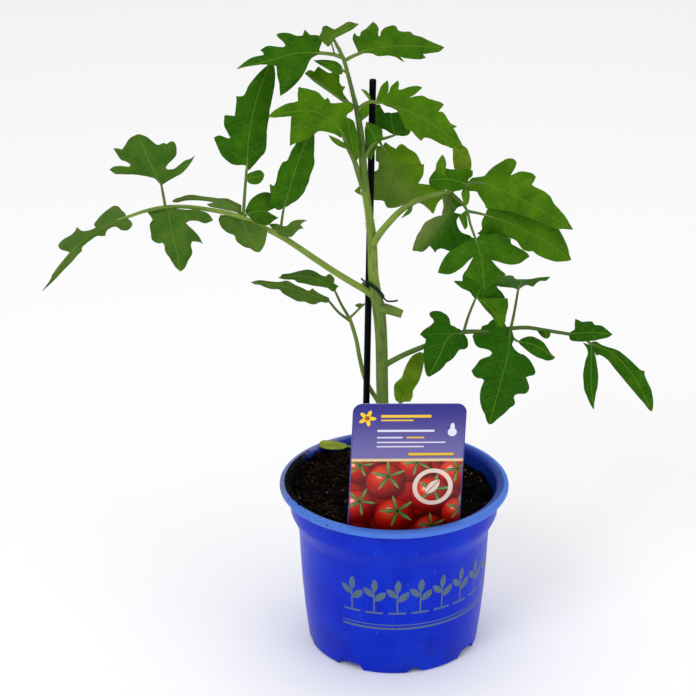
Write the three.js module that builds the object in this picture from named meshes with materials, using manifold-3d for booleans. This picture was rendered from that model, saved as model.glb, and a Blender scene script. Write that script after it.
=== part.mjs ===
// A young tomato plant in a plastic grower's pot, tied to a rod, with a plant label.
// Millimetres, +Z up, origin on the ground in the middle of the pot.

import * as THREE from 'three';
import { mergeVertices } from 'three/addons/utils/BufferGeometryUtils.js';
import Module from 'manifold-3d';

const wasm = await Module();
wasm.setup();

// Pot
const RIM_HEIGHT = 91.2;
const WALL = 1.2;
const POT_SIDES = 40;
const DRAIN_COUNT = 8;
const FIRST_DRAIN = THREE.MathUtils.degToRad(14);
const NARROW_DRAIN = { foot: 9.5, top: 3.5, height: 3.2 };
const WIDE_DRAIN = { foot: 16, top: 11, height: 3.9 };
const DRAIN_START = 22;
const DRAIN_END = 50;
const DRAIN_BELOW = 1;
const DRAIN_HOLE = { radius: 1.7, reach: 34, depth: 4, sides: 10 };

// Each wall is [radius, height], from the foot up
const OUTER_WALL = [
  [43.8, 0], [45, 1.2], [48.6, 34], [50.4, 66.4], [54.6, 75.4], [54.9, 88.2],
  [59.4, 88.2], [60.3, 89], [60.3, 90.3], [59, RIM_HEIGHT],
];
const INNER_WALL = [
  [42.6, WALL], [43.9, 2.4], [47.4, 34], [49.2, 66.8], [53.3, 75.8], [53.6, 89.7], [55, RIM_HEIGHT],
];

// Clearance between pieces that touch, and the distance below which two corners are one
const GAP = 0.3;
const SAME_CORNER = 0.0005;

// Soil. It reaches the lip at the left, where it is heaped, and lies lower at the right. Its clods
// are set out along a sunflower's spiral.
const SOIL_LEVEL = 84.6;
const SOIL_SLOPE = { right: -0.045, back: 0.02 };
const SOIL_HEAP = { centre: [-30, 10], size: 17.3, height: 2.6 };
const SOIL_WAVES = { height: 1.1, right: 0.41, back: 0.37, start: [1.3, 0.4] };
const CLODS = { count: 66, reach: 55, size: 3.1, height: 1.75, spread: 0.95 };
const SPIRAL_TURN = Math.PI * (3 - Math.sqrt(5));
const SOIL_SIDES = 60;
const SOIL_RINGS = { count: 17, outer: 58, inner: 4 };
const SOIL_HEAPED = 6;

// Rod, stem and wire
const ROD_RADIUS = 1.75;
const WIRE_RADIUS = 0.48;

// Plant label
const LABEL_WIDTH = 58;
const LABEL_HEIGHT = 70.5;
const LABEL_CORNER = 5;
const LABEL_THICKNESS = 0.8;
const LABEL_FOOT_WIDTH = 17;
const LABEL_SHOULDER = 12;
const LABEL_FOOT = 42;
const LABEL_POINT = 10.5;
const LABEL_FOOT_CENTRE = [4.2, -43.6, 86.5];
const LABEL_TURN = THREE.MathUtils.degToRad(5.4);
const LABEL_ROLL = THREE.MathUtils.degToRad(2.4);

// Leaves. A leaflet's stalk tapers to RIB_TIP along the first part of the rib, RIB_REACH of it.
const BLADE_THICKNESS = 0.75;
const RIB_REACH = 0.25;
const RIB_ROOT = 0.8;
const RIB_TIP = 0.5;

// The plant is laid out as it is seen from an eye in front of it and above it. Each point of it is
// [right, up, back]: millimetres right of the pot's axis and up from the middle of its rim in that
// view, and how far behind the axis the point lies.
const EYE = new THREE.Vector3(-24.3, -1398, 808);
const VIEW_DROP = THREE.MathUtils.degToRad(24.6);
const VIEW_HEIGHT = 90;

function place([right, up, back]) {
  const seen = new THREE.Vector3(
    right,
    up * Math.sin(VIEW_DROP),
    VIEW_HEIGHT + up * Math.cos(VIEW_DROP),
  );
  const reach = (back - EYE.y) / (seen.y - EYE.y);
  return seen.sub(EYE).multiplyScalar(reach).add(EYE);
}

// Solids

function signedVolume(points, faces) {
  const [a, b, c] = [new THREE.Vector3(), new THREE.Vector3(), new THREE.Vector3()];
  let total = 0;
  for (let face = 0; face < faces.length; face += 3) {
    a.fromArray(points, 3 * faces[face]);
    b.fromArray(points, 3 * faces[face + 1]);
    c.fromArray(points, 3 * faces[face + 2]);
    total += a.dot(b.cross(c));
  }
  return total;
}

function solidOf(points, faces) {
  const triVerts = Uint32Array.from(faces);
  if (signedVolume(points, faces) < 0) {
    triVerts.reverse();
  }
  const mesh = new wasm.Mesh({ numProp: 3, vertProperties: Float32Array.from(points), triVerts });
  return new wasm.Manifold(mesh);
}

function solidFrom(geometry) {
  const bare = geometry.clone();
  bare.deleteAttribute('normal');
  bare.deleteAttribute('uv');
  const merged = mergeVertices(bare, SAME_CORNER);
  return solidOf(Array.from(merged.attributes.position.array), Array.from(merged.index.array));
}

function fuse(solids) {
  return solids.reduce((whole, solid) => whole.add(solid));
}

function geometryOf(solid) {
  const { vertProperties, triVerts } = solid.getMesh();
  const geometry = new THREE.BufferGeometry();
  geometry.setAttribute('position', new THREE.BufferAttribute(vertProperties, 3));
  geometry.setIndex(new THREE.BufferAttribute(triVerts, 1));
  geometry.computeVertexNormals();
  return geometry;
}

// A turned body, from a profile of [radius, height] that starts and ends on the axis
function turned(profile, sides) {
  const points = profile.map(([radius, height]) => new THREE.Vector2(radius, height));
  return new THREE.LatheGeometry(points, sides).rotateX(Math.PI / 2);
}

// A round stalk along a smooth path, with its thickness given at even steps or at each point
function stalk({ path, radii, sides = 6, steps = path.length - 1, grow = 0 }) {
  const curve = new THREE.CatmullRomCurve3(path.map(place), false, 'centripetal');
  const across = new THREE.Vector3(0, 1, 0);
  const rings = [];
  for (let step = 0; step <= steps; step++) {
    const share = step / steps;
    const ahead = curve.getTangent(share);
    across.addScaledVector(ahead, -across.dot(ahead)).normalize();
    const along = share * (radii.length - 1);
    const before = Math.min(Math.floor(along), radii.length - 2);
    const radius = THREE.MathUtils.lerp(radii[before], radii[before + 1], along - before) + grow;
    const centre = curve.getPoint(share);
    if (step === 0 || step === steps) {
      centre.addScaledVector(ahead, step === 0 ? -grow : grow);
    }
    rings.push({ centre, radius, across: across.clone(), upward: across.clone().cross(ahead) });
  }
  const geometry = new THREE.CylinderGeometry(1, 1, 1, sides, steps);
  const corners = geometry.attributes.position;
  for (let corner = 0; corner < corners.count; corner++) {
    const ring = rings[Math.round((corners.getY(corner) + 0.5) * steps)];
    const point = ring.centre.clone();
    point.addScaledVector(ring.across, ring.radius * corners.getX(corner));
    point.addScaledVector(ring.upward, ring.radius * corners.getZ(corner));
    corners.setXYZ(corner, point.x, point.y, point.z);
  }
  return solidFrom(geometry);
}

// The point of a blade's rib that is nearest to a point of its outline
function nearestOnRib(rib, [right, up]) {
  let best = null;
  for (let piece = 1; piece < rib.length; piece++) {
    const [start, end] = [rib[piece - 1], rib[piece]];
    const run = [end[0] - start[0], end[1] - start[1]];
    const reach = (right - start[0]) * run[0] + (up - start[1]) * run[1];
    const share = THREE.MathUtils.clamp(reach / (run[0] ** 2 + run[1] ** 2), 0, 1);
    const foot = start.map((value, axis) => THREE.MathUtils.lerp(value, end[axis], share));
    const distance = Math.hypot(right - foot[0], up - foot[1]);
    if (best === null || distance < best.distance) {
      best = { foot, distance };
    }
  }
  return best;
}

// One leaflet. rib runs from its base to its tip, and left and right are its two edges in that
// order, drawn from the front. rise and side say how far back the blade goes for each millimetre
// up or right of the rib, and cup how far it goes for each millimetre away from the rib. An edge
// point may also say for itself how far back it lies.
function blade({ rib, left, right, rise = 0, side = 0, cup = 0 }) {
  const flat = [...rib, ...left, ...right].map((point) => new THREE.Vector2(point[0], point[1]));
  const ribPoints = rib.map((_, index) => index);
  const halves = [
    [...ribPoints, ...left.map((_, index) => rib.length + index).reverse()],
    [...ribPoints, ...right.map((_, index) => rib.length + left.length + index).reverse()],
  ];
  const faces = [];
  for (const half of halves) {
    const outline = half.map((index) => flat[index]);
    for (const corners of THREE.ShapeUtils.triangulateShape(outline, [])) {
      const [a, b, c] = corners.map((corner) => half[corner]);
      const turnsLeft = THREE.ShapeUtils.area([flat[a], flat[b], flat[c]]) > 0;
      faces.push(turnsLeft ? [a, b, c] : [a, c, b]);
    }
  }
  const middle = rib.map(place);
  for (const [x, up, set] of [...left, ...right]) {
    const { foot, distance } = nearestOnRib(rib, [x, up]);
    const back = foot[2] + rise * (up - foot[1]) + side * (x - foot[0]) + cup * distance;
    middle.push(place([x, up, set ?? back]));
  }
  const facing = new THREE.Vector3();
  for (const [a, b, c] of faces) {
    const edge = middle[b].clone().sub(middle[a]);
    facing.add(edge.cross(middle[c].clone().sub(middle[a])));
  }
  facing.setLength(BLADE_THICKNESS / 2);
  const front = middle.map((point) => point.clone().add(facing));
  const back = middle.map((point) => point.clone().sub(facing));
  const points = [...front, ...back].flatMap((point) => point.toArray());
  return solidOf(points, closedSheet(faces, front.length));
}

// Triangles of a thin sheet: its front, the same triangles on its back, and the edge between them
function closedSheet(faces, backStart) {
  const edges = new Set(faces.flatMap(([a, b, c]) => [`${a} ${b}`, `${b} ${c}`, `${c} ${a}`]));
  const closed = faces.flatMap(([a, b, c]) => [a, b, c, backStart + a, backStart + c, backStart + b]);
  for (const edge of edges) {
    const [start, end] = edge.split(' ').map(Number);
    if (!edges.has(`${end} ${start}`)) {
      closed.push(end, start, backStart + start);
      closed.push(end, backStart + start, backStart + end);
    }
  }
  return closed;
}

// The stalk of a leaflet runs on into the blade as its rib
function leaflet(shape) {
  const [base, next] = shape.rib;
  const inBlade = next.map((value, axis) => THREE.MathUtils.lerp(base[axis], value, RIB_REACH));
  const thick = shape.thick ?? RIB_ROOT;
  const path = [...(shape.stalk ?? []), base, inBlade];
  return blade(shape).add(stalk({ path, radii: [thick, RIB_TIP], sides: 4 }));
}

// Main stem, from the soil to its tip

const STEM = {
  path: [
    [-4.5, -45, 0], [-4.9, -10, 0], [-5.6, 22, 0], [-6.3, 50, 0], [-6.9, 78, 0], [-8.2, 92, 0],
    [-10, 101, 0], [-11, 110, 0], [-11.4, 122, 0], [-12.1, 132, 0], [-13.5, 143, 0],
    [-15.2, 155, 0], [-16.6, 170, 0], [-17.6, 183, 0], [-19.4, 195, 0.5], [-21.8, 205, 0.8],
    [-24.3, 215, 1], [-27, 224, 1], [-30, 230, 1], [-32, 234, 1],
  ],
  radii: [
    3.2, 3.2, 3.15, 3.15, 3.15, 3.35, 3, 2.65, 2.5, 2.4, 1.95, 2.05, 1.95, 1.75, 1.4, 1.05, 0.95, 0.9,
    0.75, 0.5,
  ],
  sides: 8,
  steps: 22,
};

const CUT_STALK = {
  path: [[-8, 92, -0.5], [-3, 91.2, -2.5], [4.2, 88.8, -4]],
  radii: [3.1, 2.2],
  sides: 8,
};

const STEM_BLADES = [
  {
    stalk: [[-24.5, 215.8, 1]],
    rib: [[-26.5, 216.9, 1.4], [-32, 219.8, 4], [-42.3, 222.4, 8]],
    left: [[-27.8, 214.9], [-31, 215.4], [-34, 217.1], [-37, 218.9], [-40, 220.7]],
    right: [[-28, 219.8], [-30, 221.6], [-34, 222.5], [-39, 222.7]],
    rise: 0.6,
  },
  {
    rib: [[-31.2, 232.4, 1], [-33.5, 234.4, 2], [-35.2, 237.3, 3]],
    left: [[-34, 233.2]],
    right: [[-32.5, 236]],
  },
  {
    rib: [[-16.8, 151.5, -0.6], [-18.5, 153.4, -1], [-21, 153.6, -1.5]],
    left: [[-19, 152.1]],
    right: [[-18.4, 156.2]],
  },
];

// Leaves. Each has its stalks and its leaflets, from the stem outwards.

const LEAVES = {
  leaf_long_left: {
    stalks: [
      {
        path: [
          [-10.5, 98, -0.4], [-15, 101.3, -1.2], [-22, 105.3, -3.5], [-31, 110.8, -6], [-41, 117.4, -9],
          [-50, 123.6, -12], [-60, 129.9, -15], [-70, 134.9, -18], [-80, 139.6, -21],
          [-90, 142.4, -24], [-100, 144.2, -27], [-110, 145.3, -30], [-120, 145.2, -33],
          [-130, 143.4, -36], [-140, 140.1, -39], [-146, 138, -41],
        ],
        radii: [1.9, 1.7, 1.6, 1.5, 1.3, 1.15, 1, 0.85, 0.7],
        sides: 7,
      },
    ],
    leaflets: [
      {
        stalk: [[-79.5, 139.6, -20.8], [-79, 148, -20], [-78.3, 158, -17.5]],
        rib: [[-77.6, 166.5, -15], [-76.5, 183, -8], [-72, 204, 1], [-65.5, 221.5, 8]],
        left: [
          [-81, 167.4], [-85.5, 167.8], [-91, 172.5], [-95, 181.6], [-92, 182.7], [-86.3, 181.5],
          [-89.5, 188], [-89.4, 193.3], [-84, 193], [-83.2, 203.6], [-79, 204.2], [-75.5, 210.5],
        ],
        right: [
          [-76.6, 164.4], [-70.3, 171.6], [-67.6, 175.8], [-67.1, 184], [-66, 192], [-64.8, 200],
          [-63.4, 207], [-62.8, 216],
        ],
        side: 0.2,
        cup: 0.12,
        thick: 0.9,
      },
      {
        rib: [[-78, 159.8, -17.5], [-73, 161, -15], [-68.3, 162, -13]],
        left: [[-77, 162.6], [-73, 164.2], [-70.3, 164.2]],
        right: [[-76.5, 157.8], [-72.5, 157.2], [-69.6, 159]],
        rise: 0.5,
      },
      {
        stalk: [[-60, 130.6, -15], [-59.2, 138, -14.6]],
        rib: [[-58.1, 145, -14], [-54.5, 157, -12], [-50, 171, -7.5], [-44, 186, -2]],
        left: [
          [-60.8, 143.6], [-65.4, 146.6], [-64.9, 150], [-65.4, 157.4], [-63.3, 156.3], [-61.2, 163.5],
          [-58.6, 168.9], [-56.5, 169.5], [-51.5, 179.2], [-47.3, 186],
        ],
        right: [
          [-54, 147.2], [-50, 150], [-45.4, 158], [-42, 168.3], [-42.3, 177], [-42.3, 184],
        ],
        side: 0.2,
        cup: 0.12,
      },
      {
        stalk: [[-78.8, 139.4, -20.6]],
        rib: [[-77.8, 141.2, -19.5], [-71, 143, -15.5], [-61, 139.4, -11]],
        left: [[-77, 144.3], [-73, 151], [-69, 152.6], [-65.5, 152], [-66, 143.4], [-64, 141]],
        right: [[-75, 138.8], [-70, 136.2], [-66.5, 135.7], [-63.8, 138]],
        rise: 0.8,
      },
      {
        rib: [[-80.5, 139.4, -21.2], [-77, 131, -26], [-71, 121.3, -31]],
        left: [[-91.5, 141], [-92.2, 137.4], [-87.5, 131.6], [-83.8, 129.8], [-81, 125.5], [-74.5, 122.3]],
        right: [[-67.2, 133.6], [-67.4, 128.7], [-69.2, 123.6]],
        side: 0.15,
        cup: 0.1,
      },
      {
        rib: [[-80, 139.8, -20.8], [-85, 146, -19.5], [-97, 148.9, -16], [-117, 148.2, -12]],
        left: [[-86.5, 143], [-92, 145], [-96, 147.2], [-103, 147.8], [-108, 146.2]],
        right: [[-83, 147.6], [-88, 149.5], [-95, 149.5], [-108, 151.4], [-113, 150]],
        rise: 1.6,
      },
      {
        rib: [[-63, 132, -16], [-55, 134.4, -14], [-46, 138.2, -10]],
        left: [[-66, 136.1], [-61, 136.3], [-57, 135.3], [-54, 137.4], [-49, 138.3]],
        right: [[-54.5, 129.4], [-51, 132.5], [-47.8, 134], [-49.4, 135.8]],
        rise: 1.1,
      },
      {
        stalk: [[-120.4, 144.2, -33], [-121.4, 150, -32.6]],
        rib: [[-122.6, 156.6, -31.5], [-126, 163, -27], [-130, 172, -20], [-134.8, 183.6, -12]],
        left: [
          [-128, 161.3], [-137, 162.9], [-147, 163.4], [-149.8, 165.4], [-147.5, 166.4], [-139.4, 166.3],
          [-139, 168.2], [-144, 170.2], [-148, 176.2], [-143.5, 175.4], [-140.3, 180.3], [-137.2, 182.8],
        ],
        right: [
          [-116, 161], [-109.6, 166], [-107.6, 170.3], [-113, 167.5], [-116.4, 165.2], [-120.4, 165.8],
          [-116.5, 170.5], [-114.6, 174], [-116.2, 179.8], [-120, 178.4], [-124.5, 177.8], [-129.5, 181.6],
        ],
        cup: 0.12,
      },
      {
        rib: [[-119.4, 144.9, -33], [-117.5, 134, -38], [-114.6, 122, -43.5], [-112.6, 111.2, -47]],
        left: [
          [-130, 142.4], [-127.2, 138.4], [-128.7, 136], [-127.6, 127.8], [-123.5, 126], [-121.4, 125.6],
          [-120, 121], [-115.5, 114],
        ],
        right: [
          [-104, 143.6], [-98.4, 142], [-95.4, 138.2], [-99.5, 136.5], [-109.4, 137], [-104.6, 132],
          [-100.6, 125.8], [-106.4, 126.9], [-106.4, 121], [-109, 115.5],
        ],
        side: 0.1,
        cup: 0.12,
      },
      {
        rib: [
          [-141, 139.8, -39.4], [-152, 135, -44], [-163, 128, -49], [-172, 119, -54], [-185.2, 101, -61],
        ],
        left: [
          [-137.8, 136.8], [-140.6, 133], [-144, 133.2], [-148.5, 134.7], [-152.2, 130], [-156.5, 130],
          [-160, 127.7], [-164.6, 122], [-174.3, 112.4], [-178, 108.5],
        ],
        right: [
          [-144, 143.4], [-147.5, 145.6], [-151, 144], [-158.2, 136], [-160, 133], [-164.6, 132.5],
          [-167.2, 134.6], [-169, 131.2], [-176, 126], [-176.6, 123.4], [-171, 122.2], [-180.8, 109.6],
        ],
        rise: 1.3,
        side: -0.6,
      },
    ],
  },
  leaf_low_left: {
    stalks: [
      {
        path: [
          [-6.4, 39.5, 0.5], [-9.2, 44, 5], [-12.4, 49, 10], [-15.6, 55.5, 14], [-18.2, 66, 18],
          [-19.9, 75, 20], [-21.9, 82, 21], [-23.8, 87.5, 22],
        ],
        radii: [1.3, 1.15, 1],
      },
      { path: [[-23.6, 86.5, 21.8], [-20, 90, 22], [-15.5, 94.3, 24]], radii: [0.7, 0.5], sides: 5 },
    ],
    leaflets: [
      {
        stalk: [[-24, 87.4, 22], [-28, 94.2, 24]],
        rib: [[-31, 100.6, 27], [-38, 106, 31], [-47, 108.6, 36], [-61, 107.9, 44]],
        left: [
          [-34.5, 102.3], [-43, 103.8], [-51, 105.5], [-56, 107],
        ],
        right: [
          [-29.2, 103.3], [-31.8, 105], [-31.6, 107.4], [-34, 109.8], [-38, 109], [-45, 112.1],
          [-50, 111.4], [-59, 109.6],
        ],
        rise: 1.2,
      },
      {
        stalk: [[-23.6, 85.4, 21.8], [-29.2, 89.6, 21]],
        rib: [[-34, 95.2, 20], [-42, 98.3, 23], [-52, 101.5, 28], [-62, 104, 32], [-75.3, 105.5, 37]],
        left: [
          [-38.5, 95.2], [-42, 93.8], [-47, 95.2], [-51, 95.6], [-59, 100], [-60.4, 101.7],
          [-68, 102.9], [-73.5, 104.4],
        ],
        right: [
          [-34.6, 97.4], [-40, 100], [-43, 102.4], [-45, 101], [-56.5, 106.3], [-60, 105.7],
          [-71, 106.5],
        ],
        rise: 1,
      },
      {
        rib: [[-15.8, 93.4, 24], [-18.4, 93.3, 25], [-20.8, 93.5, 26]],
        left: [[-18.6, 92.1]],
        right: [[-18, 94.5]],
        thick: 0.5,
      },
    ],
  },
  leaf_low_right: {
    stalks: [
      {
        path: [
          [-6.5, 60.6, -0.5], [-3, 62.9, -0.8], [5, 67.2, 0.5], [15, 71.4, 1.5], [26, 75.8, 3],
          [36.5, 79.2, 4], [47, 79.6, 6], [59, 81, 8], [70, 81.6, 10], [78, 80.5, 12], [86, 79.2, 14],
          [95, 77.8, 18],
        ],
        radii: [1.6, 1.4, 1.25, 1.1, 1, 0.9],
        sides: 7,
      },
    ],
    leaflets: [
      {
        rib: [[36, 79.2, 3.6], [29, 77, -2.5], [24, 67, -6], [18.5, 55.7, -9]],
        left: [
          [33, 81.3], [30, 83], [28.8, 87], [25.5, 89.8], [19.5, 90.1], [18.7, 88.6], [21, 84.8],
          [16.5, 81], [13.6, 78], [16.8, 75.3], [15.4, 68], [16.2, 60], [17.4, 56.2],
        ],
        right: [
          [38.2, 76.5], [38.7, 71.6], [34.5, 70], [30, 64.4], [27.5, 63], [23, 58.3],
        ],
        cup: 0.15,
      },
      {
        stalk: [[36.7, 79.4, 4], [38.9, 87, 2.5]],
        rib: [[42.8, 96.8, 0.5], [46, 103, 3], [50.5, 113, 6]],
        left: [[40, 100.3], [31.3, 106.1], [36, 106.2], [36.5, 110], [40, 113]],
        right: [[47, 96.4], [53, 95.8], [58.6, 97.3], [54.3, 103], [54, 109]],
        rise: 0.4,
      },
      {
        rib: [[43.4, 97.6, 0.6], [51, 92, -2], [57, 81.8, -4]],
        left: [[48, 91.4], [52, 87], [54, 82]],
        right: [[50, 97.2], [59.8, 97], [60, 92], [58.4, 84]],
        thick: 0.6,
      },
      {
        stalk: [[61.6, 81.6, 8.2], [63.2, 89, 7]],
        rib: [[65.4, 101.6, 5], [66.5, 104.5, 14], [67.5, 107, 22]],
        left: [[60, 102.9], [55, 103.5], [50, 106], [59.5, 109]],
        right: [[70, 104.2], [73.5, 103.5], [77, 106.3], [82, 108.4], [74, 107.4]],
        rise: 1.8,
      },
      {
        stalk: [[60.8, 81.4, 8]],
        rib: [[61, 79.6, 6], [60.5, 70, 2], [57.5, 58, -1], [54, 45, -4], [50, 30.6, -8]],
        left: [
          [57.5, 84.6], [53, 86.1], [50, 84], [45.8, 81.4], [41.6, 77], [43, 72.3], [50.4, 69.6],
          [51.5, 68], [45, 64.4], [40.8, 59], [42.2, 56.2], [47.5, 53.9], [45.3, 45.5], [47.8, 36],
        ],
        right: [
          [63.5, 74.2], [62.7, 72.4], [68.4, 67.4], [73, 62], [74.4, 58], [69.6, 55.4], [71.2, 50],
          [69, 46.8], [63.2, 45.4], [63.5, 41.2], [57, 35.5],
        ],
        side: 0.15,
        cup: 0.12,
      },
      {
        stalk: [[61.4, 80.4, 8], [63, 75.8, 6]],
        rib: [[65.6, 74.2, 5], [74, 72.4, 3], [84.8, 65.6, 0]],
        left: [[68, 76.2], [73, 76.8], [78.5, 74], [82.4, 68.4]],
        right: [[67.6, 71.8], [71, 68.8], [75, 66.2], [81, 64.3]],
        rise: 0.5,
      },
      {
        rib: [[79.6, 80.4, 12.2], [80, 78.4, 10], [80.4, 75.8, 7]],
        left: [[76.2, 79.6], [77.4, 77.2]],
        right: [[82.4, 79.3], [82, 76.8]],
      },
      {
        rib: [[92, 78.2, 16.5], [103, 79, 19], [115.2, 78.1, 22]],
        left: [[95, 80.5], [95.5, 86], [99, 84.4], [104.5, 84.5], [109.5, 82.4]],
        right: [[92.8, 75.2], [99, 74.2], [106, 74.8]],
        rise: 0.9,
      },
      {
        stalk: [[93.5, 78, 17.4], [99.5, 76.8, 18]],
        rib: [[104, 72.2, 18], [103.8, 62, 15], [104, 50, 12], [105.3, 38.5, 9]],
        left: [[99.4, 73.8], [102, 68.4], [100.2, 61], [99.7, 55], [100.4, 48.6], [103.4, 41.5]],
        right: [[106, 66], [107.5, 57], [106.6, 48]],
        side: 0.3,
      },
      {
        rib: [[103.2, 73.6, 18], [115, 68, 20], [127, 55, 18], [135.8, 37.4, 14]],
        left: [
          [106, 74.4], [118, 69.6], [125, 64], [130, 59.3], [132, 58.6], [133.5, 53], [136.4, 44],
        ],
        right: [[106.5, 67.4], [112, 66], [118, 58.5], [124, 51], [132, 42]],
        cup: 0.15,
      },
    ],
  },
  leaf_right: {
    stalks: [
      {
        path: [
          [-11.2, 125.6, -1.6], [-8.8, 129.5, -4], [-4, 135.5, -9], [3, 142.8, -14.5], [10, 147.6, -19],
          [19, 151, -23], [28, 152.8, -26], [36, 156.8, -31], [45, 158.4, -36], [55, 155, -41.5],
        ],
        radii: [2.1, 1.7, 1.5, 1.3, 1.15, 0.8],
        sides: 7,
      },
    ],
    leaflets: [
      {
        rib: [[10.2, 147.4, -19], [7.4, 142.6, -18.5], [3.8, 139.2, -18]],
        left: [[6.4, 142.9]],
        right: [[8.8, 142.4]],
      },
      {
        rib: [[38, 157.4, -33], [28, 160, -37], [18.4, 159.4, -40]],
        left: [[36.6, 155], [32.4, 153.6], [20, 154.8], [18.6, 157.2]],
        right: [
          [41, 161], [41.4, 164.4], [37, 165.2], [26.6, 165.4], [22, 164.8], [20, 162.4],
        ],
        rise: 0.2,
      },
      {
        rib: [[27, 160.6, -37], [25.4, 166, -39], [25.8, 172.6, -41]],
        left: [[22, 166], [22.4, 168.4], [24, 171]],
        right: [[27.3, 166.2], [27.2, 169.8]],
        thick: 0.5,
      },
      {
        rib: [
          [38.4, 156.9, -32.6], [46, 157.8, -37], [55, 155, -43], [64, 151, -48], [75, 145, -54],
          [94.2, 133.3, -64],
        ],
        left: [
          [39, 153.4], [43.6, 153.2], [46, 149.6], [48.4, 144.4], [60, 143], [75, 138], [85.5, 133.7],
          [91, 133.6],
        ],
        right: [
          [41, 160.4], [47.6, 161.6], [53.5, 167.2], [59, 170.5], [63, 170.4], [64.3, 168.8], [61.4, 161.9],
          [66.5, 163.8], [73, 162.8], [74.6, 161.2], [72.6, 157], [79, 153.5], [82.5, 150.5],
          [84, 147.5], [90, 140.5],
        ],
        rise: 0.1,
        cup: 0.1,
      },
      {
        stalk: [[38.5, 143, -36], [44, 142, -36]],
        rib: [[48, 141, -36], [58, 138, -39], [68, 133, -43], [78, 128.5, -48], [93.3, 117.3, -55]],
        left: [
          [46.6, 138.5], [46.3, 133.6], [43.8, 131.2], [50, 128.8], [62, 128.6], [68, 122.5],
          [73, 121.8], [82, 117.3], [86, 116.4],
        ],
        right: [[50, 146], [60, 144.6], [75, 139.6], [85.5, 135], [90, 127], [92, 121]],
        rise: 0.1,
        cup: 0.1,
      },
      {
        rib: [[29, 152.6, -26.4], [28.8, 143, -29], [22, 133.5, -32], [9.8, 122.3, -36]],
        left: [
          [24.9, 150.6], [25.9, 144.6], [25.2, 140.8], [19.5, 139], [16.3, 137], [11.5, 128.5],
        ],
        right: [
          [34.6, 149.6], [36.6, 145.8], [33.6, 145], [31.6, 142.2], [35.6, 141.4], [33, 138.2],
          [35, 132.4], [40.4, 130], [40, 126.4], [35, 124], [30, 121.7], [25, 123.4],
          [21.7, 121.1], [18.7, 124.9], [15, 121.7],
        ],
        side: 0.25,
      },
      {
        stalk: [[29.5, 153.2, -27], [36, 147, -32], [38.5, 143, -36], [40.2, 136, -40]],
        rib: [[43, 128.2, -44], [46, 118, -47], [47.6, 101.6, -50]],
        left: [
          [40.6, 129.4], [37, 126.4], [29, 121.6], [24, 113.5], [23.2, 110.4], [29, 109.8], [34, 112],
          [39, 116.6], [41.8, 118.9], [38.5, 112.5], [36.8, 109.4], [43, 106],
        ],
        right: [
          [46, 130.8], [54, 131], [61.5, 128.2], [64, 124.5], [70.5, 120.6], [71.3, 119],
          [66, 115.4], [58, 115.4], [51, 117.2], [55, 113], [59, 109.7], [54, 105.8],
        ],
        cup: 0.15,
      },
      {
        rib: [[38, 143.6, -36], [36.7, 138.6, -36.6], [37.3, 133.2, -38]],
        left: [[34, 140.4], [35.4, 137]],
        right: [[38.4, 139.4], [38.6, 135]],
        thick: 0.5,
      },
      {
        rib: [[37.6, 157, -32], [37.7, 152, -34], [37.3, 145, -36.5]],
        left: [[35.5, 152.4], [36.4, 148]],
        right: [[39.7, 153], [39.2, 147.6]],
        thick: 0.5,
      },
    ],
  },
  leaf_mid_right: {
    stalks: [
      {
        path: [
          [-16.2, 169.6, 0], [-14.5, 173, -0.4], [-12.4, 176.6, 0.4], [-10.4, 179, 1.2], [-8, 180.6, 4.5],
          [-4.8, 181.4, 8.4],
        ],
        radii: [1.2, 1, 0.8],
      },
    ],
    leaflets: [
      {
        rib: [[-8.6, 178.4, 1.4], [-11, 183, 0.4], [-14.7, 190, -1]],
        left: [[-12, 170], [-14.4, 172.6], [-15.2, 181]],
        right: [[-6, 181], [-6.5, 186.4], [-11, 188.9]],
        thick: 0.5,
      },
      {
        stalk: [[-5.4, 181.2, 7.8]],
        rib: [[0.4, 183, 11], [-1, 188.6, 14], [-1.5, 194.6, 18]],
        left: [[-2.2, 184.4], [-5.4, 186.2], [-9.9, 186.4], [-10.2, 199.4], [-7.2, 199], [-5.4, 194.8]],
        right: [[6, 182.7], [7.9, 183.6], [8.8, 186.2], [7, 190], [5, 195]],
        rise: 0.4,
      },
      {
        stalk: [[-8, 180.4, 4.5]],
        rib: [[-6.2, 177, 7.6], [0, 169, 10.5], [8, 161, 12.5], [20.6, 141.6, 15]],
        left: [
          [-9.4, 177.6], [-9.5, 169.6], [-8.2, 168.8], [-8.4, 165], [-14, 163], [-16, 158], [-15, 150],
          [-5.5, 148.3], [-3.5, 144.9], [1, 145], [10, 147.8], [16.5, 145.6],
        ],
        right: [
          [-4.6, 179.4], [1, 175.8], [4, 178.4], [7.5, 176], [11.5, 173.5], [14.5, 167.6],
          [15.7, 167.8], [15.2, 161.6], [12.6, 157.6], [18, 156.9], [27, 154.6], [26, 150.6],
          [23, 147.2],
        ],
        side: -0.06,
        cup: 0.12,
      },
    ],
  },
  leaf_upper_right: {
    stalks: [
      {
        path: [
          [-19.4, 195.4, 0], [-16.8, 198.6, -1], [-12.5, 200.6, -1.2], [-8, 200.3, -2],
        ],
        radii: [1, 0.9],
      },
    ],
    leaflets: [
      {
        rib: [[-12.5, 200.8, -1.2], [-14, 203.9, -0.6], [-17.5, 207.4, 0.4]],
        left: [[-14.8, 203.8]],
        right: [[-12.6, 203.4], [-14.6, 206.4]],
        thick: 0.5,
      },
      {
        rib: [[-16, 199.2, -0.9], [-15.8, 195, -0.4], [-15.6, 191.8, 0]],
        left: [[-18.6, 198.6], [-18, 192], [-17.2, 190.6]],
        right: [[-13.3, 199.6], [-13.6, 193.6]],
        thick: 0.5,
      },
      {
        rib: [
          [-9.5, 200.5, -1.8], [2, 197.8, -5], [15, 192, -10], [25, 185.5, -15], [31, 181, -18],
          [36.4, 177, -21],
        ],
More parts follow.
